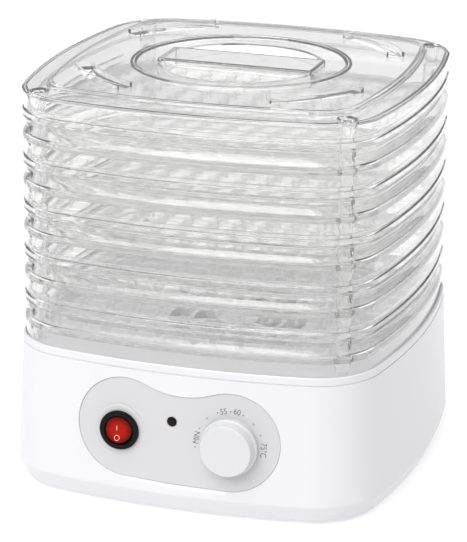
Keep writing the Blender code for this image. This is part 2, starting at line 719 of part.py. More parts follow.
def tray(number, mat):
    """A clear tray: skirt, open lattice floor, waisted wall, rim band and the lip that the next one sits on."""
    z = TRAY_Z + (number - 1) * TRAY_PITCH
    top = z + TRAY_PITCH - GAP
    floor = z + FLOOR_Z
    loops = [
        square_loop(SKIRT_HALF - SKIRT_WALL, floor - FLOOR_THICK / 3),
        square_loop(SKIRT_HALF - SKIRT_WALL, z),
        square_loop(SKIRT_HALF, z),
        square_loop(RIM_BAND_HALF, floor + 0.0033),
        square_loop(WAIST_HALF, floor + 0.0090),
        square_loop(RIM_BAND_HALF, floor + 0.0127),
        square_loop(RIM_BAND_HALF, top),
        square_loop(LIP_HALF, top),
        square_loop(LIP_HALF, top + LIP_HEIGHT),
        square_loop(TRAY_INNER_HALF, top + LIP_HEIGHT),
        square_loop(TRAY_INNER_HALF, floor + FLOOR_THICK * 2 / 3),
    ]
    body = add_object(f"tray_{number}", loft(loops), mat, (0, 0, z))
    tools = []
    for row in range(-LATTICE_ROWS, LATTICE_ROWS + 1):
        for column in range(-LATTICE_ROWS, LATTICE_ROWS + 1):
            if (row + column) % 2 == 0:
                x, y, reach = column * LATTICE_STEP, row * LATTICE_STEP, LATTICE_REACH
                diamond = [(x - reach, y), (x, y - reach), (x + reach, y), (x, y + reach)]
                tools.append(prism(diamond, floor - 0.002, floor + 0.003))
    for corner in corner_places():
        notch = turned([(0.0070, top - 0.0002), (0.0070, top + 0.004)], 6)
        tools.append(placed(notch, corner))
    cut(body, merged(tools))
    post = [(0.0034, z + 0.0004), (0.0056, floor), (0.0048, floor + 0.0015), (0.0048, top - 0.0004)]
    corner_posts(body, post)


def lid(mat):
    """The clear lid: skirt, sloped margin, raised top with a ring, vents and a handle bar over recesses."""
    z = TRAY_Z + TRAY_COUNT * TRAY_PITCH
    top, skin = z + LID_TOP_Z, LID_SKIN
    loops = [
        square_loop(LID_STEP_HALF - skin, top - skin),
        square_loop(LID_STEP_HALF - skin, z + FLOOR_Z),
        square_loop(SKIRT_HALF - SKIRT_WALL, z + FLOOR_Z),
        square_loop(SKIRT_HALF - SKIRT_WALL, z),
        square_loop(SKIRT_HALF, z),
        square_loop(RIM_BAND_HALF, z + FLOOR_Z),
        square_loop(RIM_BAND_HALF, z + LID_EDGE_Z),
        square_loop(LID_STEP_HALF + 0.0015, z + LID_EDGE_Z + 0.0004),
        square_loop(LID_STEP_HALF, top),
        round_loop(RING_OUTER, top),
        round_loop(RING_OUTER - 0.0005, z + RING_TOP_Z),
        round_loop(RING_INNER + 0.0005, z + RING_TOP_Z),
        round_loop(RING_INNER, top),
    ]
    body = add_object("lid", loft(loops), mat, (0, 0, z))
    bar_top, bar_low = z + BAR_TOP_Z, z + BAR_TOP_Z - BAR_DEPTH
    width, length = BAR_HALF_WIDTH, BAR_HALF_LENGTH
    half_angle = math.asin(width / RECESS_RADIUS)
    for side in (-1, 1):
        start = side * half_angle
        end = side * (math.pi - half_angle)
        recess = arc((0, 0), RECESS_RADIUS, start, end, 8)
        cut(body, prism(recess, top - 0.01, top + 0.01))
    join(body, box((-length, -width, bar_low), (length, width, bar_top)))
    inside = (length - skin, width - skin, bar_top - skin)
    cut(body, box((-inside[0], -inside[1], bar_low - 0.001), inside))
    for i in range(4):
        middle = math.radians(45 + 90 * i)
        wall_span, slot_span = (VENT_WALL, top - 0.001, top + VENT_RISE), (0.0, top - 0.01, top + 0.01)
        for grow, low, high in (wall_span, slot_span):
            turn = VENT_HALF_ANGLE + grow / VENT_RADIUS
            half = VENT_HALF_WIDTH + grow
            slot = arc((0, 0), VENT_RADIUS + half, middle - turn, middle + turn, 4)
            slot += arc((0, 0), VENT_RADIUS - half, middle + turn, middle - turn, 4)
            (cut if grow == 0.0 else join)(body, prism(slot, low, high))
    post = [(0.0034, z + 0.0004), (0.0056, z + FLOOR_Z - 0.0004), (0.0056, z + LID_EDGE_Z - 0.0008)]
    corner_posts(body, post)


def build():
    clear_scene()
    white = material("white_plastic", (0.88, 0.88, 0.89), 0.25)
    grey = material("panel_grey", (0.75, 0.76, 0.77), 0.35)
    black = material("black_plastic", (0.02, 0.02, 0.02), 0.35)
    red = material("switch_red", (0.70, 0.02, 0.02), 0.20)
    smoke = material("lens_smoke", (0.08, 0.03, 0.03), 0.15)
    neon = material("lamp_glass", (0.90, 0.45, 0.25), 0.10)
    rubber = material("rubber", (0.10, 0.10, 0.10), 0.80)
    steel = material("zinc_steel", (0.65, 0.66, 0.68), 0.35, 1.0)
    sheet = material("tunnel_sheet", (0.80, 0.81, 0.82), 0.30, 1.0)
    copper = material("copper_coil", (0.75, 0.36, 0.16), 0.40, 0.9)
    bronze = material("bronze_bush", (0.70, 0.50, 0.25), 0.45, 1.0)
    iron = material("core_steel", (0.30, 0.31, 0.33), 0.50, 1.0)
    cast = material("cast_zinc", (0.55, 0.56, 0.58), 0.50, 1.0)
    mica = material("mica", (0.70, 0.62, 0.45), 0.60)
    wire = material("heating_wire", (0.45, 0.43, 0.40), 0.45, 1.0)
    brown = material("thermoset", (0.20, 0.10, 0.06), 0.50)
    clear = material("clear_plastic", (0.93, 0.94, 0.94), 0.05, alpha=0.35)

    base_housing(white)
    bottom_cover(white)
    rubber_feet(rubber)
    for i, place in enumerate(COVER_SCREWS, 1):
        screw(f"cover_screw_{i}", steel, place, COVER_LOW_Z - GAP, COVER_HIGH_Z + 0.0110)
    control_panel(grey)
    switch_body(black)
    rocker_button(red)
    indicator(smoke, neon)
    temperature_knob(white)
    thermostat(brown, steel)
    outlet_grille(white)
    fan_duct(sheet)
    for i, place in enumerate(duct_screw_places(), 1):
        seat = DECK_Z - DECK_THICK - 0.0016
        screw(f"duct_screw_{i}", steel, place, seat, DECK_Z - 0.0010, 0.0022, 0.0010, 0.0014)
    heater(mica, wire, brown)
    fan(sheet, iron, steel)
    motor(iron, copper, cast, bronze, steel)
    wiring_pieces(white, black)
    for number in range(1, TRAY_COUNT + 1):
        tray(number, clear)
    lid(clear)


build()
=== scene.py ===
"""Looks for the food dehydrator: fine meshes, procedural materials, studio light and camera.

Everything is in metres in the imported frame: +Z up, the controls at -Y, the stack's axis on the Z axis.
"""

import json
import math

import bmesh
import bpy
from mathutils import Matrix, Vector


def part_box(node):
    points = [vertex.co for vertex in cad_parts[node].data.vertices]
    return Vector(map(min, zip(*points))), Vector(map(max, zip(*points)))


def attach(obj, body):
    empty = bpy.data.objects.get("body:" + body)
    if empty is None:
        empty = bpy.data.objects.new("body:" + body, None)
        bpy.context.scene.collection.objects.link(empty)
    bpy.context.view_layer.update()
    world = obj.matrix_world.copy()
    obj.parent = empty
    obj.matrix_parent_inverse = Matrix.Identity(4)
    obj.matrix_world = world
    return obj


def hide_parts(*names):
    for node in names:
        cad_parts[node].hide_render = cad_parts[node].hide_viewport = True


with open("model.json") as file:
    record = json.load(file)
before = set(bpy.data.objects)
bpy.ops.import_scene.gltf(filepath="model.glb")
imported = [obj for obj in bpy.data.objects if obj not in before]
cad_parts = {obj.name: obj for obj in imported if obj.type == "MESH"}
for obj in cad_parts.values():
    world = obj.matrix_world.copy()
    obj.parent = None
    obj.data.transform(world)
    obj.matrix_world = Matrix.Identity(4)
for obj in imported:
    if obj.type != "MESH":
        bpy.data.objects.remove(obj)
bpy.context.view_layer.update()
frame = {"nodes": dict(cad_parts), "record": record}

# Plan outline shared by every shell: bowed sides and round corners, given by the half width
REF_HALF = 0.1130
CORNER_RADIUS = 0.0386
SIDE_RADIUS = 0.4250
SIDE_STEPS = 18
CORNER_STEPS = 16

# Sides of round shapes
SMALL_ROUND = 32
ROUND = 72
FINE_ROUND = 96

# Places read from the frame
base_low, base_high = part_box("base_housing")
tray_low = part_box("tray_1")[0]
lid_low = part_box("lid")[0]
knob_low, knob_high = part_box("temperature_knob")
bezel_low, bezel_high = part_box("switch_body")
lens_low, lens_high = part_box("indicator_lens")
TRAY_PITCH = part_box("tray_2")[0].z - tray_low.z
TRAY_COUNT = 5

# Base profile
FOOT_Z = base_low.z
RIM_Z = base_high.z
CREASE_HALF = base_high.x
CREASE_Z = 0.0122
TUCK_HALF = 0.1142
RIM_HALF = 0.1143
RIM_WALL = 0.0013
LEDGE_Z = 0.0869
LEDGE_HALF = 0.1080
DECK_Z = 0.0805
DECK_THICK = 0.0026
WALL = 0.0026
OUTLET_RADIUS = 0.0460
GLAND_HOLE_RADIUS = 0.0062

# Tray profile, heights above the bottom of the skirt
FLOOR_Z = 0.0097
SKIRT_HALF = 0.1125
BAND_HALF = 0.1132
WAIST_HALF = 0.1106
CLEAR_WALL = 0.0016
SKIRT_WALL = 0.0018
POST_XY = 0.0905
CLEAR_SHARP = 32
FLOOR_BORDER = 0.0095
LATTICE_PITCH = 0.0162
LATTICE_RING = 0.0049
LATTICE_RIB = 0.0014
LATTICE_HEIGHT = 0.0038

# Lid, heights above the bottom of its skirt
LID_EDGE_Z = 0.0118
LID_STEP_HALF = 0.0979
LID_TOP_Z = 0.0149
LID_SKIN = 0.0018
RING_OUTER = 0.0649
RING_INNER = 0.0612
RECESS_RADIUS = 0.0475
BAR_HALF_WIDTH = 0.0150
BAR_HALF_LENGTH = 0.0470
BAR_TOP_Z = 0.0168
BAR_DEPTH = 0.0120
COLLAR_DEPTH = 0.0085
VENT_RADIUS = 0.0920
VENT_HALF_ANGLE = math.radians(17)
VENT_HALF_WIDTH = 0.0040
VENT_WALL = 0.0014
VENT_RISE = 0.0029

# Front controls
SWITCH_X, SWITCH_Z = (bezel_low.x + bezel_high.x) / 2, (bezel_low.z + bezel_high.z) / 2
KNOB_X, KNOB_Z = (knob_low.x + knob_high.x) / 2, (knob_low.z + knob_high.z) / 2
LAMP_X, LAMP_Z = (lens_low.x + lens_high.x) / 2, (lens_low.z + lens_high.z) / 2
LEFT_LOBE = (-0.0304, 0.0487, 0.0295)
RIGHT_LOBE = (0.0323, 0.0468, 0.0292)
WAIST_RADIUS = 0.0545
PANEL_DEPTH = 0.0006
SWITCH_SEAT_Y = -0.1155
KNOB_SEAT_Y = -0.1158
PAD_BACK_Y = -0.1065
DISH_RADIUS = 0.0300
DISH_FLOOR = 0.0044

# Inside the base
HEATER_RADIUS = 0.0300
HEATER_COIL_RADIUS = 0.0024
WIRE_RADIUS = 0.00028
WIRE_SIDES = 6
SOFT_NODES = [
    ("bottom_cover", 0.0003, 2), ("cord_gland", 0.0004, 2), ("thermostat_body", 0.0004, 2),
    ("terminal_block", 0.0004, 2), ("motor_core", 0.0003, 2), ("motor_coil", 0.0012, 3),
    ("bearing_bracket_top", 0.0004, 2), ("bearing_bracket_bottom", 0.0004, 2), ("motor_rotor", 0.0003, 2),
    ("thermal_fuse", 0.0003, 2), ("motor_mount", 0.0002, 1),
]

# Camera and light
CAMERA_YAW = math.radians(18.04)
CAMERA_PITCH = math.radians(18.18)
CAMERA_ROLL = math.radians(0.52)
CAMERA_DISTANCE = 1.6687
CAMERA_LENS = 185.0
CAMERA_AIM = Vector((-0.0036, 0.0, 0.1099))
STUDIO_RADIUS = 6.0
STUDIO_SIDES = 64
SUN_BEARING = Vector((-0.12, -0.64, 0.76))


# Mesh helpers

def shaded(mesh, sharp):
    """Smooth shading, with the corners over an angle in degrees kept sharp."""
    mesh.shade_smooth()
    mesh.set_sharp_from_angle(angle=math.radians(sharp))


def new_piece(name, bm, mat, sharp=35):
    """A mesh object from a closed bmesh in frame coordinates, smooth shaded with sharp corners kept."""
    bmesh.ops.recalc_face_normals(bm, faces=bm.faces)
    mesh = bpy.data.meshes.new(name)
    bm.to_mesh(mesh)
    bm.free()
    shaded(mesh, sharp)
    obj = bpy.data.objects.new(name, mesh)
    obj.data.materials.append(mat)
    bpy.context.scene.collection.objects.link(obj)
    return obj


def mesh_of(obj):
    """The mesh of an object that is no longer needed itself."""
    mesh = obj.data
    bpy.data.objects.remove(obj, do_unlink=True)
    return mesh


def apply_modifiers(obj):
    """Replace an object's mesh by what its modifiers make of it."""
    graph = bpy.context.evaluated_depsgraph_get()
    mesh = bpy.data.meshes.new_from_object(obj.evaluated_get(graph))
    obj.modifiers.clear()
    obj.data = mesh


def combine(target, tool_bm, operation):
    """A Boolean of a piece with a closed bmesh, which is used up."""
    tool = new_piece("tool", tool_bm, target.data.materials[0])
    modifier = target.modifiers.new("combine", "BOOLEAN")
    modifier.object = tool
    modifier.operation = operation
    apply_modifiers(target)
    bpy.data.objects.remove(tool, do_unlink=True)


def cut(target, tool_bm):
    """Take a closed bmesh away from a piece."""
    combine(target, tool_bm, "DIFFERENCE")


def join(target, tool_bm):
    """Add a closed bmesh to a piece."""
    combine(target, tool_bm, "UNION")


def rounded(obj, width, segments=2, angle=30, smooth=45):
    """Round the edges of a piece with a Bevel, so that they catch the light."""
    modifier = obj.modifiers.new("round", "BEVEL")
    modifier.width = width
    modifier.segments = segments
    modifier.limit_method = "ANGLE"
    modifier.angle_limit = math.radians(angle)
    modifier.harden_normals = False
    apply_modifiers(obj)
    shaded(obj.data, smooth)
    return obj


def outline(half, side_steps=SIDE_STEPS, corner_steps=CORNER_STEPS):
    """The plan outline for a half width: bowed sides, with corner arcs that meet them smoothly."""
    inset = REF_HALF - half
    side = SIDE_RADIUS - inset
    corner = max(CORNER_RADIUS - inset, 0.002)
    k = side - half
    centre = (math.sqrt(2 * (side - corner) ** 2 - k * k) - k) / 2
    swing = math.atan2(centre, k + centre)
    quarter = []
    for i in range(side_steps):
        t = -swing + 2 * swing * i / side_steps
        quarter.append((side * math.sin(t), side - half - side * math.cos(t)))
    for i in range(corner_steps):
        u = swing + (math.pi / 2 - 2 * swing) * i / corner_steps
        quarter.append((centre + corner * math.sin(u), -centre - corner * math.cos(u)))
    points = []
    for turn in range(4):
        c, s = math.cos(turn * math.pi / 2), math.sin(turn * math.pi / 2)
        points += [(c * x - s * y, s * x + c * y) for x, y in quarter]
    return points


def square_loop(half, z):
    """The plan outline at one height."""
    return [Vector((x, y, z)) for x, y in outline(half)]


def round_loop(radius, z):
    """A circle with as many points as the plan outline, at the same bearings."""
    bearings = [math.atan2(y, x) for x, y in outline(REF_HALF)]
    return [Vector((radius * math.cos(t), radius * math.sin(t), z)) for t in bearings]


def arc(centre, radius, start, end, steps):
    """Points along an arc, with both ends."""
    angles = [start + (end - start) * i / steps for i in range(steps + 1)]
    return [(centre[0] + radius * math.cos(t), centre[1] + radius * math.sin(t)) for t in angles]


def loft(loops, closed=False, bm=None):
    """A skin through loops of equal length, with end caps or closed into a ring."""
    bm = bm or bmesh.new()
    rows = [[bm.verts.new(point) for point in loop] for loop in loops]
    count = len(rows[0])
    pairs = list(zip(rows, rows[1:]))
    if closed:
        pairs.append((rows[-1], rows[0]))
    for low, high in pairs:
        for i in range(count):
            j = (i + 1) % count
            bm.faces.new((low[i], low[j], high[j], high[i]))
    if not closed:
        bm.faces.new(rows[0][::-1])
        bm.faces.new(rows[-1])
    bmesh.ops.recalc_face_normals(bm, faces=bm.faces)
    return bm


def turned(profile, segments, closed=False):
    """A profile of (radius, height) turned about the Z axis."""
    loops = []
    for radius, z in profile:
        angles = [2 * math.pi * i / segments for i in range(segments)]
        loops.append([Vector((radius * math.cos(t), radius * math.sin(t), z)) for t in angles])
    return loft(loops, closed)


def prism(points, low, high):
    """A flat outline carried from one height to another."""
    return loft([[Vector((x, y, z)) for x, y in points] for z in (low, high)])


def box(low, high):
    """A box between two opposite corners."""
    corners = [(low[0], low[1]), (high[0], low[1]), (high[0], high[1]), (low[0], high[1])]
    return prism(corners, low[2], high[2])


def placed(bm, matrix):
    """The same bmesh, moved."""
    bmesh.ops.transform(bm, matrix=matrix, verts=bm.verts)
    return bm


def merged(parts):
    """Several closed bmeshes in one, which uses them up."""
    whole = bmesh.new()
    for part in parts:
        mesh = bpy.data.meshes.new("part")
        part.to_mesh(mesh)
        part.free()
        whole.from_mesh(mesh)
        bpy.data.meshes.remove(mesh)
    return whole


def facing_front(x, y, z):
    """Local +Z points out of the front, local +Y points up."""
    return Matrix.Translation((x, y, z)) @ Matrix.Rotation(math.radians(90), 4, "X")


def wall_half(z):
    """Half the width of the base's flared wall at a height."""
    return CREASE_HALF + (RIM_HALF - CREASE_HALF) * (z - CREASE_Z) / (RIM_Z - CREASE_Z)


def front_y(x, z, depth=0.0):
    """Where the base's curved front is, or a surface at a depth behind it."""
    half = wall_half(z) - depth
    radius = SIDE_RADIUS - (REF_HALF - half)
    return radius - half - math.sqrt(radius * radius - x * x)


def upright_in(low, high):
    """Local +Z stays up, on the vertical axis through the middle of a box."""
    return Matrix.Translation(((low.x + high.x) / 2, (low.y + high.y) / 2, 0))


def corner_places():
    """The axes of the four corner posts."""
    return [Matrix.Translation((sx * POST_XY, sy * POST_XY, 0)) for sx in (-1, 1) for sy in (-1, 1)]


# Materials

def node_material(name):
    """A new material with its nodes, links and Principled shader."""
    mat = bpy.data.materials.new(name)
    mat.use_nodes = True
    nodes, links = mat.node_tree.nodes, mat.node_tree.links
    return mat, nodes, links, nodes["Principled BSDF"]


def noise(nodes, links, scale, detail=3.0, stretch=(1, 1, 1)):
    """A noise texture in object space, in cycles per metre, that can be stretched."""
    place = nodes.new("ShaderNodeTexCoord")
    mapping = nodes.new("ShaderNodeMapping")
    mapping.inputs["Scale"].default_value = stretch
    texture = nodes.new("ShaderNodeTexNoise")
    texture.inputs["Scale"].default_value = scale
    texture.inputs["Detail"].default_value = detail
    links.new(place.outputs["Object"], mapping.inputs["Vector"])
    links.new(mapping.outputs["Vector"], texture.inputs["Vector"])
    return texture.outputs["Fac"]


def ranged(nodes, links, source, low, high):
    """A value from 0 to 1 spread between two limits."""
    remap = nodes.new("ShaderNodeMapRange")
    remap.inputs["To Min"].default_value = low
    remap.inputs["To Max"].default_value = high
    links.new(source, remap.inputs["Value"])
    return remap.outputs["Result"]


def bumped(nodes, links, shader, source, strength, distance):
    """Fine relief in the shading of a surface."""
    bump = nodes.new("ShaderNodeBump")
    bump.inputs["Strength"].default_value = strength
    bump.inputs["Distance"].default_value = distance
    links.new(source, bump.inputs["Height"])
    links.new(bump.outputs["Normal"], shader.inputs["Normal"])


def tinted(nodes, links, shader, source, dark, light):
    """A base colour that drifts between two close tones."""
    ramp = nodes.new("ShaderNodeValToRGB")
    ramp.color_ramp.interpolation = "EASE"
    ramp.color_ramp.elements[0].position = 0.25
    ramp.color_ramp.elements[1].position = 0.75
    ramp.color_ramp.elements[0].color = (*dark, 1)
    ramp.color_ramp.elements[1].color = (*light, 1)
    links.new(source, ramp.inputs["Fac"])
    links.new(ramp.outputs["Color"], shader.inputs["Base Color"])


def plastic(name, colour, roughness, grain=0.04, spread=0.006, coat=0.0, gloss=0.5):
    """Moulded plastic: a fine spark-eroded grain, faint colour drift and uneven gloss."""
    mat, nodes, links, shader = node_material(name)
    drift = noise(nodes, links, 14.0)
    dark = [c * (1 - spread) for c in colour]
    light = [min(c * (1 + spread), 1) for c in colour]
    tinted(nodes, links, shader, drift, dark, light)
    fine = noise(nodes, links, 2600.0, 2.0)
    links.new(ranged(nodes, links, drift, roughness * 0.95, roughness * 1.06), shader.inputs["Roughness"])
    bumped(nodes, links, shader, fine, grain, 0.00003)
    shader.inputs["Specular IOR Level"].default_value = gloss
    shader.inputs["Coat Weight"].default_value = coat
    shader.inputs["Coat Roughness"].default_value = 0.08
    return mat


def metal(name, colour, roughness, stretch=(1, 1, 1), scale=900.0):
    """Worked metal: fine marks along one direction and a slightly uneven sheen."""
    mat, nodes, links, shader = node_material(name)
    marks = noise(nodes, links, scale, 4.0, stretch)
    tinted(nodes, links, shader, marks, [c * 0.82 for c in colour], colour)
    links.new(ranged(nodes, links, marks, roughness * 0.7, roughness * 1.3), shader.inputs["Roughness"])
    bumped(nodes, links, shader, marks, 0.15, 0.00003)
    shader.inputs["Metallic"].default_value = 1.0
    return mat


def clear_plastic(name, tint, roughness=0.02, haze=0.04):
    """Clear moulded polystyrene: refracting, slightly milky walls with flow waves and pale shadows."""
    mat, nodes, links, shader = node_material(name)
    shader.inputs["Base Color"].default_value = (*tint, 1)
    shader.inputs["Transmission Weight"].default_value = 1.0 - haze
    shader.inputs["IOR"].default_value = 1.49
    flow = noise(nodes, links, 60.0, 2.0, (1, 1, 2.5))
    links.new(ranged(nodes, links, flow, roughness * 0.6, roughness * 1.8), shader.inputs["Roughness"])
    bumped(nodes, links, shader, flow, 0.05, 0.0004)
    through = nodes.new("ShaderNodeBsdfTransparent")
    through.inputs["Color"].default_value = (*[c * 0.97 for c in tint], 1)
    path = nodes.new("ShaderNodeLightPath")
    mix = nodes.new("ShaderNodeMixShader")
    links.new(path.outputs["Is Shadow Ray"], mix.inputs["Fac"])
    links.new(shader.outputs["BSDF"], mix.inputs[1])
    links.new(through.outputs["BSDF"], mix.inputs[2])
    links.new(mix.outputs["Shader"], nodes["Material Output"].inputs["Surface"])
    return mat


def thin_plastic(name, tint, haze, edge_haze):
    """The same plastic where walls are too thin to bend the view: see-through, glossy and a little milky."""
    mat, nodes, links, shader = node_material(name)
    through = nodes.new("ShaderNodeBsdfTransparent")
    through.inputs["Color"].default_value = (*tint, 1)
    shader.inputs["Base Color"].default_value = (0.88, 0.88, 0.885, 1)
    shader.inputs["Roughness"].default_value = 0.25
    slant = nodes.new("ShaderNodeLayerWeight")
    cloud = ranged(nodes, links, slant.outputs["Facing"], haze, haze + edge_haze)
    mix = nodes.new("ShaderNodeMixShader")
    links.new(cloud, mix.inputs["Fac"])
    links.new(through.outputs["BSDF"], mix.inputs[1])
    links.new(shader.outputs["BSDF"], mix.inputs[2])
    links.new(mix.outputs["Shader"], nodes["Material Output"].inputs["Surface"])
    return mat


def red_rocker_painted_glow(name):
    """Red plastic with painted light: a painted glow in the middle of the round rocker and painted shade
    towards its rim.
    """
    mat, nodes, links, shader = node_material(name)
    place = nodes.new("ShaderNodeTexCoord")
    away = nodes.new("ShaderNodeVectorMath")
    away.operation = "DISTANCE"
    away.inputs[1].default_value = (SWITCH_X, SWITCH_SEAT_Y - 0.0020, SWITCH_Z)
    scaled = nodes.new("ShaderNodeMapRange")
    scaled.inputs["From Max"].default_value = 0.0085
    # Painted light: the base colour is bright red at the rocker's middle and painted dark towards its rim,
    # standing in for glow and shade.
    ramp = nodes.new("ShaderNodeValToRGB")
    ramp.color_ramp.interpolation = "EASE"
    ramp.color_ramp.elements[0].position = 0.35
    ramp.color_ramp.elements[0].color = (0.36, 0.007, 0.003, 1)
    ramp.color_ramp.elements[1].color = (0.09, 0.002, 0.0015, 1)
    links.new(place.outputs["Object"], away.inputs[0])
    links.new(away.outputs["Value"], scaled.inputs["Value"])
    links.new(scaled.outputs["Result"], ramp.inputs["Fac"])
    links.new(ramp.outputs["Color"], shader.inputs["Base Color"])
    shader.inputs["Roughness"].default_value = 0.28
    shader.inputs["Specular IOR Level"].default_value = 0.10
    return mat


def floor_material():
    """A pale floor that glows enough to meet the white backdrop."""
    mat, nodes, links, shader = node_material("studio_floor")
    shader.inputs["Base Color"].default_value = (0.40, 0.40, 0.405, 1)
    shader.inputs["Roughness"].default_value = 0.75
    shader.inputs["Specular IOR Level"].default_value = 0.2
    shader.inputs["Emission Color"].default_value = (1.0, 1.0, 1.0, 1)
    shader.inputs["Emission Strength"].default_value = 0.64
    return mat


WHITE = plastic("white_plastic", (0.685, 0.682, 0.710), 0.26, coat=0.15)
KNOB_WHITE = plastic("knob_white", (0.61, 0.61, 0.617), 0.36, coat=0.05)
GREY = plastic("panel_grey", (0.560, 0.560, 0.570), 0.38, grain=0.08)
PRINT = plastic("print_grey", (0.16, 0.16, 0.17), 0.5)
BLACK = plastic("black_plastic", (0.006, 0.004, 0.004), 0.30, spread=0.1, gloss=0.13)
RED = red_rocker_painted_glow("switch_red")
MARK = plastic("mark_white", (0.85, 0.62, 0.60), 0.4)
LENS = plastic("lens_smoke", (0.012, 0.005, 0.005), 0.15, grain=0.0, spread=0.1, gloss=0.15)
RUBBER = plastic("rubber", (0.33, 0.33, 0.34), 0.8, grain=0.3)
BROWN = plastic("thermoset", (0.16, 0.07, 0.035), 0.45, grain=0.2, spread=0.2)
MICA = plastic("mica", (0.52, 0.44, 0.28), 0.55, grain=0.3, spread=0.15)
NEON = plastic("lamp_glass", (0.80, 0.38, 0.20), 0.08, grain=0.0)
STEEL = metal("zinc_steel", (0.62, 0.63, 0.65), 0.32)
SHEET = metal("tunnel_sheet", (0.80, 0.81, 0.82), 0.28, (1, 1, 12))
IRON = metal("core_steel", (0.30, 0.31, 0.33), 0.45, (0.05, 0.05, 3), 1500.0)
CAST = metal("cast_zinc", (0.50, 0.51, 0.53), 0.5, scale=1500.0)
BRONZE = metal("bronze_bush", (0.62, 0.42, 0.20), 0.4)
COPPER = metal("copper_coil", (0.72, 0.33, 0.14), 0.35, (0.05, 1, 1), 1800.0)
WIRE = metal("heating_wire", (0.36, 0.33, 0.30), 0.4)
CLEAR = clear_plastic("clear_plastic", (0.970, 0.970, 0.967))
LID_CLEAR = clear_plastic("clear_lid", (0.988, 0.988, 0.985))
FLOOR_CLEAR = thin_plastic("clear_floor", (0.910, 0.910, 0.905), 0.08, 0.22)

SLOT_MATERIALS = {
    "white_plastic": WHITE, "panel_grey": GREY, "black_plastic": BLACK, "switch_red": RED,
    "lens_smoke": LENS, "lamp_glass": NEON, "rubber": RUBBER, "zinc_steel": STEEL,
    "tunnel_sheet": SHEET, "copper_coil": COPPER, "bronze_bush": BRONZE, "core_steel": IRON,
    "cast_zinc": CAST, "mica": MICA, "heating_wire": WIRE, "thermoset": BROWN, "clear_plastic": CLEAR,
}


def dress_cad_nodes():
    """Give each CAD node the material of its record slot."""
    slots = {row["node"]: row["material_slot"] for row in frame["record"]["subparts"]}
    for name, obj in frame["nodes"].items():
        obj.data.materials.clear()
        obj.data.materials.append(SLOT_MATERIALS[slots[name]])


def weighted(obj):
    """Lean the shading normals towards the large faces, so that walls look flat beside rounded edges."""
    modifier = obj.modifiers.new("weights", "WEIGHTED_NORMAL")
    modifier.keep_sharp = True
    apply_modifiers(obj)


def finish_piece(obj, body, slot, *nodes):
    """Even out a piece's shading, then put it on its body and hide the CAD nodes it stands for. The slot
    argument is not used.
    """
    weighted(obj)
    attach(obj, body)
    if nodes:
        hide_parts(*nodes)
    return obj


# Base

def panel_outline(grow=0.0, steps=28):
    """The panel's outline as (x, z): two round lobes, a straight lower edge and a hollow upper edge."""
    (ax, az, ar), (bx, bz, br) = LEFT_LOBE, RIGHT_LOBE
    ar, br, waist = ar + grow, br + grow, WAIST_RADIUS - grow
    span = math.hypot(bx - ax, bz - az)
    slope = math.atan2(bz - az, bx - ax)
    low = slope - math.acos((ar - br) / span)
    along = ((ar + waist) ** 2 - (br + waist) ** 2 + span * span) / (2 * span)
    lift = math.acos(along / (ar + waist)) + slope
    wx, wz = ax + (ar + waist) * math.cos(lift), az + (ar + waist) * math.sin(lift)
    from_b = math.atan2(wz - bz, wx - bx)
    points = arc((ax, az), ar, low + 2 * math.pi, lift, steps)
    points += arc((wx, wz), waist, lift + math.pi, from_b + math.pi, steps // 2)[1:-1]
    points += arc((bx, bz), br, from_b, low, steps)
    return points


def front_prism(points, back_y, end_y):
    """A prism through the front, from an outline in (x, z)."""
    return placed(prism(points, -back_y, -end_y), facing_front(0, 0, 0))


def front_slab(outer_depth, inner_depth, columns=48):
    """A slab that follows the curved front between two depths."""
    reach, low, high = 0.0750, 0.0130, 0.0850
    loops = []
    for i in range(columns + 1):
        x = -reach + 2 * reach * i / columns
        corners = ((outer_depth, low), (outer_depth, high), (inner_depth, high), (inner_depth, low))
        loops.append([Vector((x, front_y(x, z, depth), z)) for depth, z in corners])
    return loft(loops)


def panel_recess():
    """The hole for the panel, with a rounded edge that follows the curved front."""
    edge = ((0.0006, -0.0030), (0.0006, -0.0001), (0.0003, 0.0001), (0.0001, 0.0003), (0.0, 0.0006))
    loops = []
    for grow, depth in edge:
        loops.append([Vector((x, front_y(x, z, depth), z)) for x, z in panel_outline(grow)])
    loops.append([Vector((x, -0.100, z)) for x, z in panel_outline()])
    return loft(loops)


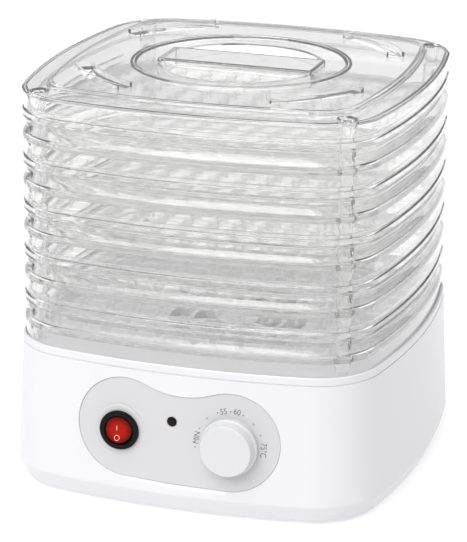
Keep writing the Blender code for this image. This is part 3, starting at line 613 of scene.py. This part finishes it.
def make_housing():
    """Outer shell with a rolled foot, a soft crease, the parting groove under the rim, and the deck."""
    under = DECK_Z - DECK_THICK
    groove_z = RIM_Z - 0.0052
    profile = [
        (TUCK_HALF - 0.0006, FOOT_Z),
        (TUCK_HALF, FOOT_Z + 0.0006),
        (CREASE_HALF - 0.0007, CREASE_Z - 0.0019),
        (CREASE_HALF - 0.0002, CREASE_Z - 0.0008),
        (CREASE_HALF, CREASE_Z + 0.0002),
        (CREASE_HALF - 0.0002, CREASE_Z + 0.0022),
        (wall_half(groove_z), groove_z),
        (wall_half(groove_z) - 0.0007, groove_z + 0.0002),
        (wall_half(groove_z) - 0.0007, groove_z + 0.0006),
        (RIM_HALF, groove_z + 0.0009),
        (RIM_HALF, RIM_Z - 0.0005),
        (RIM_HALF - 0.0004, RIM_Z),
        (RIM_HALF - RIM_WALL + 0.0002, RIM_Z),
        (RIM_HALF - RIM_WALL, RIM_Z - 0.0003),
        (RIM_HALF - RIM_WALL, LEDGE_Z),
        (LEDGE_HALF + 0.0005, LEDGE_Z),
        (LEDGE_HALF, LEDGE_Z - 0.0005),
        (LEDGE_HALF - 0.0010, DECK_Z + 0.0010),
        (LEDGE_HALF - 0.0022, DECK_Z),
    ]
    loops = [square_loop(half, z) for half, z in profile]
    loops += [round_loop(OUTLET_RADIUS, DECK_Z), round_loop(OUTLET_RADIUS, under)]
    loops += [
        square_loop(LEDGE_HALF - 0.0040, under),
        square_loop(wall_half(under) - WALL, under - 0.0030),
        square_loop(CREASE_HALF - WALL, CREASE_Z + 0.0005),
        square_loop(TUCK_HALF - WALL, FOOT_Z),
    ]
    housing = new_piece("housing_shell", loft(loops, closed=True), WHITE)
    cut(housing, panel_recess())
    gland_low, gland_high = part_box("cord_gland")
    gland_x, gland_z = (gland_low.x + gland_high.x) / 2, (gland_low.z + gland_high.z) / 2
    gland_hole = turned([(GLAND_HOLE_RADIUS, 0), (GLAND_HOLE_RADIUS, 0.02)], SMALL_ROUND)
    cut(housing, placed(gland_hole, facing_front(gland_x, 0.125, gland_z)))
    return finish_piece(housing, "base", "white_plastic", "base_housing")


def make_panel():
    """The grey insert with its two round pads and the holes for the switch, the knob and the lamp."""
    panel = new_piece("panel_insert", front_slab(PANEL_DEPTH, WALL + 0.0018), GREY)
    combine(panel, front_prism(panel_outline(-0.00015), -0.090, -0.130), "INTERSECT")
    for x, z, radius, seat in (
        (SWITCH_X, SWITCH_Z, 0.0150, SWITCH_SEAT_Y),
        (KNOB_X, KNOB_Z, 0.0164, KNOB_SEAT_Y),
    ):
        rise = PAD_BACK_Y - seat
        profile = [
            (radius + 0.0004, 0), (radius, rise - 0.0005),
            (radius - 0.0004, rise - 0.0001), (radius - 0.0008, rise),
        ]
        join(panel, placed(turned(profile, ROUND), facing_front(x, PAD_BACK_Y, z)))
    holes = []
    for x, z, radius in ((SWITCH_X, SWITCH_Z, 0.0102), (KNOB_X, KNOB_Z, 0.0052), (LAMP_X, LAMP_Z, 0.0028)):
        holes.append(placed(turned([(radius, 0), (radius, 0.040)], 40), facing_front(x, -0.090, z)))
    cut(panel, merged(holes))
    shaded(panel.data, 30)
    return finish_piece(panel, "base", "panel_grey", "control_panel")


def text_piece(word, size, x, z, turn):
    """A word as thin raised ink that follows the panel's curve, centred on a point of the front."""
    curve = bpy.data.curves.new("word", "FONT")
    curve.body = word
    curve.size = size
    curve.align_x = "CENTER"
    curve.align_y = "CENTER"
    curve.extrude = 0.00003
    obj = bpy.data.objects.new("word", curve)
    bpy.context.scene.collection.objects.link(obj)
    graph = bpy.context.evaluated_depsgraph_get()
    mesh = bpy.data.meshes.new_from_object(obj.evaluated_get(graph))
    bpy.data.objects.remove(obj, do_unlink=True)
    bm = bmesh.new()
    bm.from_mesh(mesh)
    bpy.data.meshes.remove(mesh)
    bmesh.ops.remove_doubles(bm, verts=bm.verts, dist=1e-7)
    narrow = Matrix.Rotation(turn, 4, "Z") @ Matrix.Diagonal((0.86, 1, 1, 1))
    for vert in placed(bm, narrow).verts:
        vert.co = on_panel(x + vert.co.x, z + vert.co.y, vert.co.z)
    return bm


def on_panel(x, z, rise=0.0):
    """A point just in front of the panel's face, or raised further from it."""
    return Vector((x, front_y(x, z, PANEL_DEPTH) - 0.00004 - rise, z))


def make_print():
    """The dial's scale: generic numbers and dots round the knob, in places given from the knob's axis."""
    parts = []
    words = (
        ("MIN", -0.0196, 0.0031), ("55", -0.0042, 0.0201), ("60", 0.0036, 0.0205), ("75°C", 0.0191, -0.0007),
    )
    for word, x, z in words:
        turn = math.atan2(z, x) - math.pi / 2
        parts.append(text_piece(word, 0.0049, KNOB_X + x, KNOB_Z + z, turn))
    dots = (
        (-0.0205, -0.0026), (-0.0182, 0.0088), (-0.0139, 0.0152), (-0.0077, 0.0192), (-0.0001, 0.0205),
        (0.0072, 0.0190), (0.0132, 0.0144), (0.0175, 0.0080),
    )
    for x, z in dots:
        place = on_panel(KNOB_X + x, KNOB_Z + z)
        parts.append(placed(turned([(0.00042, -0.00003), (0.00042, 0.00003)], 12), facing_front(*place)))
    ink = new_piece("dial_print", merged(parts), PRINT)
    return finish_piece(ink, "base", "panel_grey")


def make_switch():
    """The round bezel, and the dished red rocker with its two marks."""
    seat = 0.0004
    profile = [
        (0.0097, -0.0190), (0.0097, seat), (0.0116, seat), (0.0118, seat + 0.0003),
        (0.0118, seat + 0.0010), (0.0115, seat + 0.0017), (0.0109, seat + 0.0020),
        (0.0090, seat + 0.0020), (0.0086, seat + 0.0017), (0.0083, seat + 0.0010),
        (0.0083, -0.0070), (0.0030, -0.0070), (0.0030, -0.0190),
    ]
    seat_place = facing_front(SWITCH_X, SWITCH_SEAT_Y, SWITCH_Z)
    bezel = new_piece("switch_bezel", placed(turned(profile, ROUND, closed=True), seat_place), BLACK)
    finish_piece(bezel, "base", "black_plastic", "switch_body")
    pivot = (SWITCH_X, SWITCH_SEAT_Y + 0.0020, SWITCH_Z)
    tilt = facing_front(*pivot) @ Matrix.Rotation(-math.radians(7), 4, "X")
    profile = [
        (0.0060, -0.0030), (0.0072, -0.0010), (0.0077, 0.0012),
        (0.0077, 0.0048), (0.0075, 0.0053), (0.0071, 0.0055),
    ]
    rocker = new_piece("rocker_cap", turned(profile, ROUND), RED)
    hollow = turned([(DISH_RADIUS, -0.02), (DISH_RADIUS, 0.02)], 160)
    hollow = placed(hollow, Matrix.Rotation(math.radians(90), 4, "Y"))
    cut(rocker, placed(hollow, Matrix.Translation((0, 0, DISH_RADIUS + DISH_FLOOR))))
    rocker.data.transform(tilt)
    finish_piece(rocker, "rocker", "switch_red", "rocker_button")
    ring = turned([(0.0016, 0.0), (0.0016, 0.00010), (0.00135, 0.00010), (0.00135, 0.0)], 32, closed=True)
    bar = box((-0.0011, -0.0003, 0.0), (-0.0008, 0.0023, 0.00010))
    marks = merged([bar, placed(ring, Matrix.Translation((-0.0006, -0.0047, 0)))])
    for vert in marks.verts:
        vert.co.z += DISH_RADIUS + DISH_FLOOR - math.sqrt(DISH_RADIUS**2 - vert.co.y**2) - 0.00002
    signs = new_piece("rocker_marks", placed(marks, tilt), MARK)
    finish_piece(signs, "rocker", "switch_red")


def make_knob():
    """A plain white knob: flared skirt, slim waist and a slightly dished face with a soft edge."""
    height = knob_high.y - knob_low.y
    seat = knob_high.y
    profile = [
        (0.0167, 0.0), (0.0169, 0.0003), (0.0169, 0.0012),
        (0.0166, 0.0017), (0.0160, 0.0020), (0.0158, 0.0027),
        (0.0152, height - 0.0006), (0.0150, height - 0.0002), (0.0147, height),
        (0.0120, height - 0.0001), (0.0050, height - 0.00025),
    ]
    inner = [
        (0.0034, height - 0.0020), (0.0034, 0.0020), (0.0058, 0.0020), (0.0058, height - 0.0022),
        (0.0142, height - 0.0022), (0.0153, 0.0),
    ]
    cap = placed(turned(inner + profile, FINE_ROUND), facing_front(KNOB_X, seat, KNOB_Z))
    knob = new_piece("knob_cap", cap, KNOB_WHITE)
    finish_piece(knob, "knob", "white_plastic", "temperature_knob")


def make_lens():
    """The small domed lens of the indicator."""
    y = lens_high.y - 0.0030
    profile = [
        (0.0024, -0.0028), (0.0024, 0.0003), (0.0029, 0.0003), (0.0030, 0.0005), (0.0029, 0.0007),
        (0.0024, 0.00075), (0.0020, 0.0010), (0.0012, 0.00115), (0.0004, 0.0012),
    ]
    lens = new_piece("lens_dome", placed(turned(profile, 40), facing_front(LAMP_X, y, LAMP_Z)), LENS)
    finish_piece(lens, "base", "lens_smoke", "indicator_lens")


# Clear stack

def lattice_cell(bm, x, y, low, high):
    """One diamond ring with four half ribs, which meets its neighbours edge to edge."""
    rib, ring, inner = LATTICE_RIB / 2, LATTICE_RING, LATTICE_RING - 0.0015
    reach = LATTICE_PITCH / 2
    for level, up in ((low, False), (high, True)):
        for turn in range(4):
            c, s = round(math.cos(turn * math.pi / 2)), round(math.sin(turn * math.pi / 2))

            def corner(u, v):
                return bm.verts.new((x + c * u - s * v, y + s * u + c * v, level))

            faces = [
                [corner(ring - rib, -rib), corner(reach, -rib), corner(reach, rib), corner(ring - rib, rib)],
                [corner(inner, 0), corner(ring - rib, -rib), corner(ring - rib, rib)],
                [corner(inner, 0), corner(ring - rib, rib), corner(rib, ring - rib), corner(0, inner)],
            ]
            for face in faces:
                bm.faces.new(face if up else face[::-1])
    for turn in range(4):
        c, s = round(math.cos(turn * math.pi / 2)), round(math.sin(turn * math.pi / 2))

        def wall(u1, v1, u2, v2):
            ends = [(x + c * u - s * v, y + s * u + c * v) for u, v in ((u1, v1), (u2, v2))]
            (ax, ay), (bx, by) = ends
            corners = ((ax, ay, low), (bx, by, low), (bx, by, high), (ax, ay, high))
            bm.faces.new([bm.verts.new(place) for place in corners])

        wall(ring - rib, -rib, reach, -rib)
        wall(reach, rib, ring - rib, rib)
        wall(ring - rib, rib, rib, ring - rib)
        wall(0, inner, inner, 0)


def lattice(low, high, half_count):
    """The open floor: diamond rings on a square grid, joined by straight ribs."""
    bm = bmesh.new()
    for row in range(-half_count, half_count + 1):
        for column in range(-half_count, half_count + 1):
            lattice_cell(bm, column * LATTICE_PITCH, row * LATTICE_PITCH, low, high)
    bmesh.ops.remove_doubles(bm, verts=bm.verts, dist=1e-6)
    edges = [e for e in bm.edges if len(e.link_faces) == 1]
    bmesh.ops.holes_fill(bm, edges=edges, sides=4)
    bmesh.ops.recalc_face_normals(bm, faces=bm.faces)
    return bm


def tray_mesh():
    """One fine tray with the bottom of its skirt at z = 0."""
    top = TRAY_PITCH - 0.0003
    floor, wall = FLOOR_Z, CLEAR_WALL
    border = FLOOR_BORDER
    outer = [
        (SKIRT_HALF - 0.0003, 0.0), (SKIRT_HALF, 0.0003),
        (SKIRT_HALF, floor - 0.0006), (SKIRT_HALF + 0.0003, floor - 0.0002),
        (BAND_HALF, floor + 0.0004), (BAND_HALF, floor + 0.0028), (BAND_HALF - 0.0006, floor + 0.0042),
        (WAIST_HALF + 0.0008, floor + 0.0068), (WAIST_HALF, floor + 0.0090),
        (WAIST_HALF + 0.0004, floor + 0.0108), (BAND_HALF - 0.0008, floor + 0.0123),
        (BAND_HALF, floor + 0.0130), (BAND_HALF, top - 0.0004), (BAND_HALF - 0.0004, top),
    ]
    rim = [
        (0.1104, top), (0.1102, top + 0.0002), (0.1102, top + 0.0018), (0.1100, top + 0.0020),
        (0.1090, top + 0.0020), (0.1088, top + 0.0018), (0.1088, top - 0.0002),
    ]
    inner = [
        (BAND_HALF - wall - 0.0006, top - 0.0012), (BAND_HALF - wall - 0.0004, floor + 0.0140),
        (WAIST_HALF - wall + 0.0004, floor + 0.0115), (WAIST_HALF - wall, floor + 0.0090),
        (WAIST_HALF - wall + 0.0008, floor + 0.0064), (BAND_HALF - wall - 0.0004, floor + 0.0040),
        (BAND_HALF - wall - 0.0008, floor + 0.0024), (BAND_HALF - wall - 0.0018, floor + 0.0020),
        (BAND_HALF - border + 0.0014, floor + 0.0020), (BAND_HALF - border + 0.0014, floor - 0.0004),
        (SKIRT_HALF - SKIRT_WALL - 0.0006, floor - 0.0004), (SKIRT_HALF - SKIRT_WALL, floor - 0.0010),
        (SKIRT_HALF - 0.0016, 0.0003), (SKIRT_HALF - 0.0013, 0.0),
    ]
    loops = [square_loop(half, z) for half, z in outer + rim + inner]
    tray = new_piece("tray_blank", loft(loops, closed=True), CLEAR)
    sockets, pegs, bores = [], [], []
    for place in corner_places():
        socket = [(0.0049, floor + 0.0006), (0.0047, top - 0.0006)]
        peg = [(0.0030, 0.0004), (0.0034, 0.0008), (0.0058, floor + 0.0004)]
        sockets.append(placed(turned(socket, SMALL_ROUND), place))
        pegs.append(placed(turned(peg, SMALL_ROUND), place))
    for tool in sockets + pegs:
        join(tray, tool)
    for place in corner_places():
        bores.append(placed(turned([(0.0036, floor + 0.0026), (0.0036, top + 0.003)], SMALL_ROUND), place))
        bores.append(placed(turned([(0.0021, -0.001), (0.0044, floor - 0.0014)], SMALL_ROUND), place))
    cut(tray, merged(bores))
    shaded(tray.data, CLEAR_SHARP)
    return mesh_of(tray)


def floor_mesh():
    """The tray's open floor: a frame round the lattice, in the same heights as tray_mesh."""
    low, high, half = FLOOR_Z - 0.0012, FLOOR_Z + 0.0030, BAND_HALF - FLOOR_BORDER
    net = new_piece("lattice", lattice(low + 0.0002, low + 0.0002 + LATTICE_HEIGHT, 7), FLOOR_CLEAR)
    combine(net, prism(outline(half + 0.0007), low - 0.002, high + 0.002), "INTERSECT")
    sides = ((half, low), (half, high), (half + 0.0016, high), (half + 0.0016, low))
    join(net, loft([square_loop(reach, z) for reach, z in sides], closed=True))
    shaded(net.data, CLEAR_SHARP)
    return mesh_of(net)


def make_trays():
    """Each tray as its shell and its open floor, copied to its own height."""
    blanks = (("fine", tray_mesh()), ("floor", floor_mesh()))
    for number in range(1, TRAY_COUNT + 1):
        node = f"tray_{number}"
        for part, blank in blanks:
            piece = bpy.data.objects.new(f"{node}_{part}", blank.copy())
            piece.data.transform(Matrix.Translation((0, 0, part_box(node)[0].z)))
            bpy.context.scene.collection.objects.link(piece)
            finish_piece(piece, node, "clear_plastic", *([node] if part == "fine" else []))


def make_lid():
    """The lid: skirt, sloped margin, raised top, beaded ring, handle, vents and corner pegs."""
    z = lid_low.z
    top, skin = z + LID_TOP_Z, LID_SKIN
    ring_top = top + 0.0011
    profile = [
        (LID_STEP_HALF - skin - 0.0008, top - skin), (LID_STEP_HALF - skin, top - skin - 0.0006),
        (LID_STEP_HALF + 0.0002, z + LID_EDGE_Z - skin + 0.0003),
        (SKIRT_HALF - 0.0024, z + FLOOR_Z + 0.0002), (SKIRT_HALF - SKIRT_WALL, z + FLOOR_Z - 0.0008),
        (SKIRT_HALF - SKIRT_WALL, z + 0.0003), (SKIRT_HALF - 0.0015, z),
        (SKIRT_HALF - 0.0003, z), (SKIRT_HALF, z + 0.0003), (SKIRT_HALF, z + FLOOR_Z - 0.0006),
        (SKIRT_HALF + 0.0003, z + FLOOR_Z - 0.0002), (BAND_HALF, z + FLOOR_Z + 0.0003),
        (BAND_HALF, z + LID_EDGE_Z - 0.0008), (BAND_HALF - 0.0008, z + LID_EDGE_Z),
        (LID_STEP_HALF + 0.0021, z + LID_EDGE_Z + 0.0004), (LID_STEP_HALF + 0.0010, z + LID_EDGE_Z + 0.0008),
        (LID_STEP_HALF + 0.0004, top - 0.0006), (LID_STEP_HALF - 0.0004, top),
    ]
    ring = [
        (RING_OUTER, top), (RING_OUTER - 0.0004, top + 0.0008), (RING_OUTER - 0.0010, ring_top),
        (RING_OUTER - 0.0015, top + 0.0008), (RING_OUTER - 0.0018, top + 0.0002),
        (RING_INNER + 0.0014, top + 0.0002), (RING_INNER + 0.0012, top + 0.0008),
        (RING_INNER + 0.0007, ring_top), (RING_INNER + 0.0002, top + 0.0006),
        (RING_INNER - 0.0004, top - 0.0004),
    ]
    loops = [square_loop(half, level) for half, level in profile]
    loops += [round_loop(radius, level) for radius, level in ring]
    lid = new_piece("lid_fine", loft(loops), LID_CLEAR)
    add_handle(lid, z, top)
    add_vents(lid, top)
    pegs, bores = [], []
    peg = [(0.0030, z + 0.0004), (0.0034, z + 0.0008), (0.0062, z + LID_EDGE_Z - 0.0010)]
    bore = [(0.0019, z + 0.0022), (0.0048, z + LID_EDGE_Z + 0.002)]
    for place in corner_places():
        pegs.append(placed(turned(peg, SMALL_ROUND), place))
        bores.append(placed(turned(bore, SMALL_ROUND), place))
    for tool in pegs:
        join(lid, tool)
    cut(lid, merged(bores))
    shaded(lid.data, CLEAR_SHARP)
    finish_piece(lid, "lid", "clear_plastic", "lid")


def add_handle(lid, z, top):
    """The handle bar: a channel across the ring, between two D-shaped openings with turned-down edges."""
    width, length, skin = BAR_HALF_WIDTH, BAR_HALF_LENGTH, LID_SKIN
    bar_top, bar_low = z + BAR_TOP_Z, z + BAR_TOP_Z - BAR_DEPTH
    depth = COLLAR_DEPTH
    inner, outer = RECESS_RADIUS - 0.002, RECESS_RADIUS + skin
    collar = [(outer, top - depth), (outer, top - 0.0010), (inner, top - 0.0010), (inner, top - depth)]
    join(lid, turned(collar, FINE_ROUND, closed=True))
    half_angle = math.asin((width - 0.0004) / RECESS_RADIUS)
    for side in (-1, 1):
        recess = arc((0, 0), RECESS_RADIUS, side * half_angle, side * (math.pi - half_angle), 40)
        cut(lid, prism(recess, top - 0.02, top + 0.01))
    bar = new_piece("bar", box((-length, -width, bar_low), (length, width, bar_top)), LID_CLEAR)
    rounded(bar, 0.0011, 3)
    bm = bmesh.new()
    bm.from_mesh(mesh_of(bar))
    join(lid, bm)
    hollow_low = (-length + skin, -width + skin, bar_low - 0.001)
    hollow_high = (length - skin, width - skin, bar_top - skin)
    cut(lid, box(hollow_low, hollow_high))


def add_vents(lid, top):
    """Four arc slots near the corners, each inside a low raised wall."""
    for i in range(4):
        middle = math.radians(45 + 90 * i)
        for grow, low, high in ((VENT_WALL, top - 0.001, top + VENT_RISE), (0.0, top - 0.01, top + 0.01)):
            turn = VENT_HALF_ANGLE + grow / VENT_RADIUS
            half = VENT_HALF_WIDTH + grow
            slot = arc((0, 0), VENT_RADIUS + half, middle - turn, middle + turn, 24)
            slot += arc((0, 0), VENT_RADIUS - half, middle + turn, middle - turn, 24)
            (cut if grow == 0.0 else join)(lid, prism(slot, low, high))


# Plainer pieces

def softened(node, width=0.0003, segments=2):
    """A copy of a CAD node with its edges rounded, on the node's own body."""
    record = frame["record"]
    slot = next(row["material_slot"] for row in record["subparts"] if row["node"] == node)
    body = next(name for name, nodes in record["behaviour"]["bodies"].items() if node in nodes)
    bm = bmesh.new()
    bm.from_mesh(frame["nodes"][node].data)
    bmesh.ops.remove_doubles(bm, verts=bm.verts, dist=1e-6)
    bmesh.ops.dissolve_limit(bm, angle_limit=0.01, verts=bm.verts, edges=bm.edges)
    obj = new_piece(f"{node}_soft", bm, SLOT_MATERIALS[slot])
    rounded(obj, width, segments)
    return finish_piece(obj, body, slot, node)


def make_feet():
    """Round rubber feet with a soft lower edge, a neck through the cover and a bulb above it."""
    cover_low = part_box("bottom_cover")[0]
    seat, lock = cover_low.z - 0.0003, cover_low.z + 0.0029
    for node in [name for name in sorted(frame["nodes"]) if name.startswith("foot_")]:
        low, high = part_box(node)
        profile = [
            (0.0070, low.z), (0.0075, low.z + 0.0001), (0.0079, low.z + 0.0005), (0.0080, low.z + 0.0010),
            (0.0080, seat - 0.0003), (0.0077, seat), (0.0030, seat), (0.0030, lock), (0.0040, lock),
            (0.0042, lock + 0.0002), (0.0039, lock + 0.0010), (0.0024, high.z - 0.0002), (0.0018, high.z),
        ]
        foot = new_piece(f"{node}_round", placed(turned(profile, 48), upright_in(low, high)), RUBBER)
        finish_piece(foot, "base", "rubber", node)


def make_screws():
    """Round pan-head screws, head down, with a cross recess."""
    for node in [name for name in sorted(frame["nodes"]) if "_screw_" in name]:
        low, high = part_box(node)
        head = (high.x - low.x) / 2
        rise, core = (0.0014, 0.0010) if node.startswith("duct") else (0.0018, 0.0012)
        profile = [
            (head * 0.62, low.z), (head * 0.80, low.z + rise * 0.12), (head * 0.94, low.z + rise * 0.36),
            (head, low.z + rise * 0.72), (head, low.z + rise), (core, low.z + rise), (core, high.z - 0.001),
            (core * 0.5, high.z),
        ]
        screw = new_piece(f"{node}_round", placed(turned(profile, 36), upright_in(low, high)), STEEL)
        cut(screw, cross_recess(low, high))
        finish_piece(screw, "base", "zinc_steel", node)


def cross_recess(low, high):
    """The tool for a cross recess in a screw head that faces down."""
    wide, slim, depth = 0.0017, 0.00032, 0.0010
    quarter = [(slim, -wide), (slim, -slim), (wide, -slim)]
    points = []
    for turn in range(4):
        c, s = round(math.cos(turn * math.pi / 2)), round(math.sin(turn * math.pi / 2))
        points += [(c * x - s * y, s * x + c * y) for x, y in quarter]
    tool = prism(points, low.z - 0.001, low.z + depth)
    return placed(tool, upright_in(low, high))


def make_heater_coil():
    """The heating wire: a fine helix bent into an open ring, as large as the plain ring it replaces."""
    low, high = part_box("heater_coil")
    z, wire, turns, steps = (low.z + high.z) / 2, WIRE_RADIUS, 66, 12
    ring, coil = HEATER_RADIUS, HEATER_COIL_RADIUS - wire
    path = []
    for i in range(turns * steps + 1):
        bearing = math.radians(50 + 340 * i / (turns * steps))
        swing = 2 * math.pi * i / steps
        away = Vector((math.cos(bearing), math.sin(bearing), 0))
        normal = away * math.cos(swing) + Vector((0, 0, math.sin(swing)))
        path.append((away * ring + Vector((0, 0, z)) + normal * coil, normal))
    angles = [2 * math.pi * j / WIRE_SIDES for j in range(WIRE_SIDES)]
    loops = []
    for i, (point, normal) in enumerate(path):
        along = path[min(i + 1, len(path) - 1)][0] - path[max(i - 1, 0)][0]
        side = along.normalized().cross(normal).normalized()
        loops.append([point + normal * wire * math.cos(t) + side * wire * math.sin(t) for t in angles])
    helix = new_piece("heater_helix", loft(loops), WIRE)
    finish_piece(helix, "base", "heating_wire", "heater_coil")


def make_grille():
    """The outlet's disc: a dished flange and two rings of open sectors with round corners."""
    low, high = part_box("outlet_grille")
    top = high.z
    profile = [
        (0.0455, low.z), (0.0455, top - 0.0018), (0.0488, top - 0.0018), (0.0490, top - 0.0016),
        (0.0488, top - 0.0009), (0.0480, top - 0.0003), (0.0468, top),
    ]
    grille = new_piece("grille_disc", turned(profile, FINE_ROUND), WHITE)
    tools = []
    for inner, outer, count in ((0.0120, 0.0265, 6), (0.0295, 0.0415, 10)):
        for i in range(count):
            middle = 2 * math.pi * i / count
            reach = math.pi / count - 0.0016 / inner * 0.8
            sector = arc((0, 0), outer, middle - reach, middle + reach, 12)
            sector += arc((0, 0), inner, middle + reach, middle - reach, 6)
            tools.append(prism(sector, low.z - 0.001, top + 0.003))
    cut(grille, merged(tools))
    rounded(grille, 0.0003, 2)
    return finish_piece(grille, "base", "white_plastic", "outlet_grille")


# Studio

def make_camera():
    """A long lens, seen from the front right and a little above."""
    data = bpy.data.cameras.new("camera")
    data.lens = CAMERA_LENS
    data.sensor_width = 36.0
    data.clip_end = 20.0
    camera = bpy.data.objects.new("camera", data)
    back = Vector((
        math.sin(CAMERA_YAW) * math.cos(CAMERA_PITCH),
        -math.cos(CAMERA_YAW) * math.cos(CAMERA_PITCH),
        math.sin(CAMERA_PITCH),
    ))
    camera.location = CAMERA_AIM + back * CAMERA_DISTANCE
    turn = back.to_track_quat("Z", "Y").to_matrix().to_4x4()
    camera.rotation_euler = (turn @ Matrix.Rotation(CAMERA_ROLL, 4, "Z")).to_euler()
    bpy.context.scene.collection.objects.link(camera)
    bpy.context.scene.camera = camera


def area_light(name, place, aim, size, power):
    """A rectangular lamp that faces a point."""
    data = bpy.data.lights.new(name, "AREA")
    data.shape = "RECTANGLE"
    data.size, data.size_y = size
    data.energy = power
    light = bpy.data.objects.new(name, data)
    light.location = place
    light.rotation_euler = (Vector(place) - Vector(aim)).to_track_quat("Z", "Y").to_euler()
    bpy.context.scene.collection.objects.link(light)


def make_studio():
    """White floor and backdrop, a sky that is brighter above, a broad sun and one soft lamp."""
    last = STUDIO_SIDES - 1
    disc = arc((0, 0), STUDIO_RADIUS, 0, 2 * math.pi * last / STUDIO_SIDES, last)
    floor = new_piece("studio_floor", prism(disc, -0.02, 0.0), floor_material())
    world = bpy.data.worlds.new("studio")
    bpy.context.scene.world = world
    world.use_nodes = True
    nodes, links = world.node_tree.nodes, world.node_tree.links
    place = nodes.new("ShaderNodeTexCoord")
    split = nodes.new("ShaderNodeSeparateXYZ")
    ramp = nodes.new("ShaderNodeValToRGB")
    ramp.color_ramp.elements[0].position = 0.0
    ramp.color_ramp.elements[0].color = (0.14, 0.14, 0.15, 1)
    ramp.color_ramp.elements[1].position = 0.65
    ramp.color_ramp.elements[1].color = (0.95, 0.95, 0.96, 1)
    links.new(place.outputs["Generated"], split.inputs["Vector"])
    links.new(split.outputs["Z"], ramp.inputs["Fac"])
    links.new(ramp.outputs["Color"], nodes["Background"].inputs["Color"])
    backdrop = nodes.new("ShaderNodeBackground")
    backdrop.inputs["Color"].default_value = (1, 1, 1, 1)
    path = nodes.new("ShaderNodeLightPath")
    mix = nodes.new("ShaderNodeMixShader")
    links.new(path.outputs["Is Camera Ray"], mix.inputs["Fac"])
    links.new(nodes["Background"].outputs["Background"], mix.inputs[1])
    links.new(backdrop.outputs["Background"], mix.inputs[2])
    links.new(mix.outputs["Shader"], nodes["World Output"].inputs["Surface"])
    sun = bpy.data.lights.new("soft_sun", "SUN")
    sun.energy = 2.05
    sun.angle = math.radians(50)
    light = bpy.data.objects.new("soft_sun", sun)
    light.rotation_euler = SUN_BEARING.to_track_quat("Z", "Y").to_euler()
    bpy.context.scene.collection.objects.link(light)
    area_light("key_left", (-1.2, -1.1, 0.7), (0, 0, 0.1), (0.9, 0.9), 1.0)
    bpy.context.scene.view_settings.view_transform = "Standard"
    bpy.context.scene.cycles.max_bounces = 40
    bpy.context.scene.cycles.transmission_bounces = 40
    bpy.context.scene.cycles.transparent_max_bounces = 48


make_camera()
dress_cad_nodes()
make_housing()
make_panel()
make_print()
make_switch()
make_knob()
make_lens()
make_grille()
make_heater_coil()
make_feet()
make_screws()
for node, width, segments in SOFT_NODES:
    softened(node, width, segments)
make_trays()
make_lid()
make_studio()
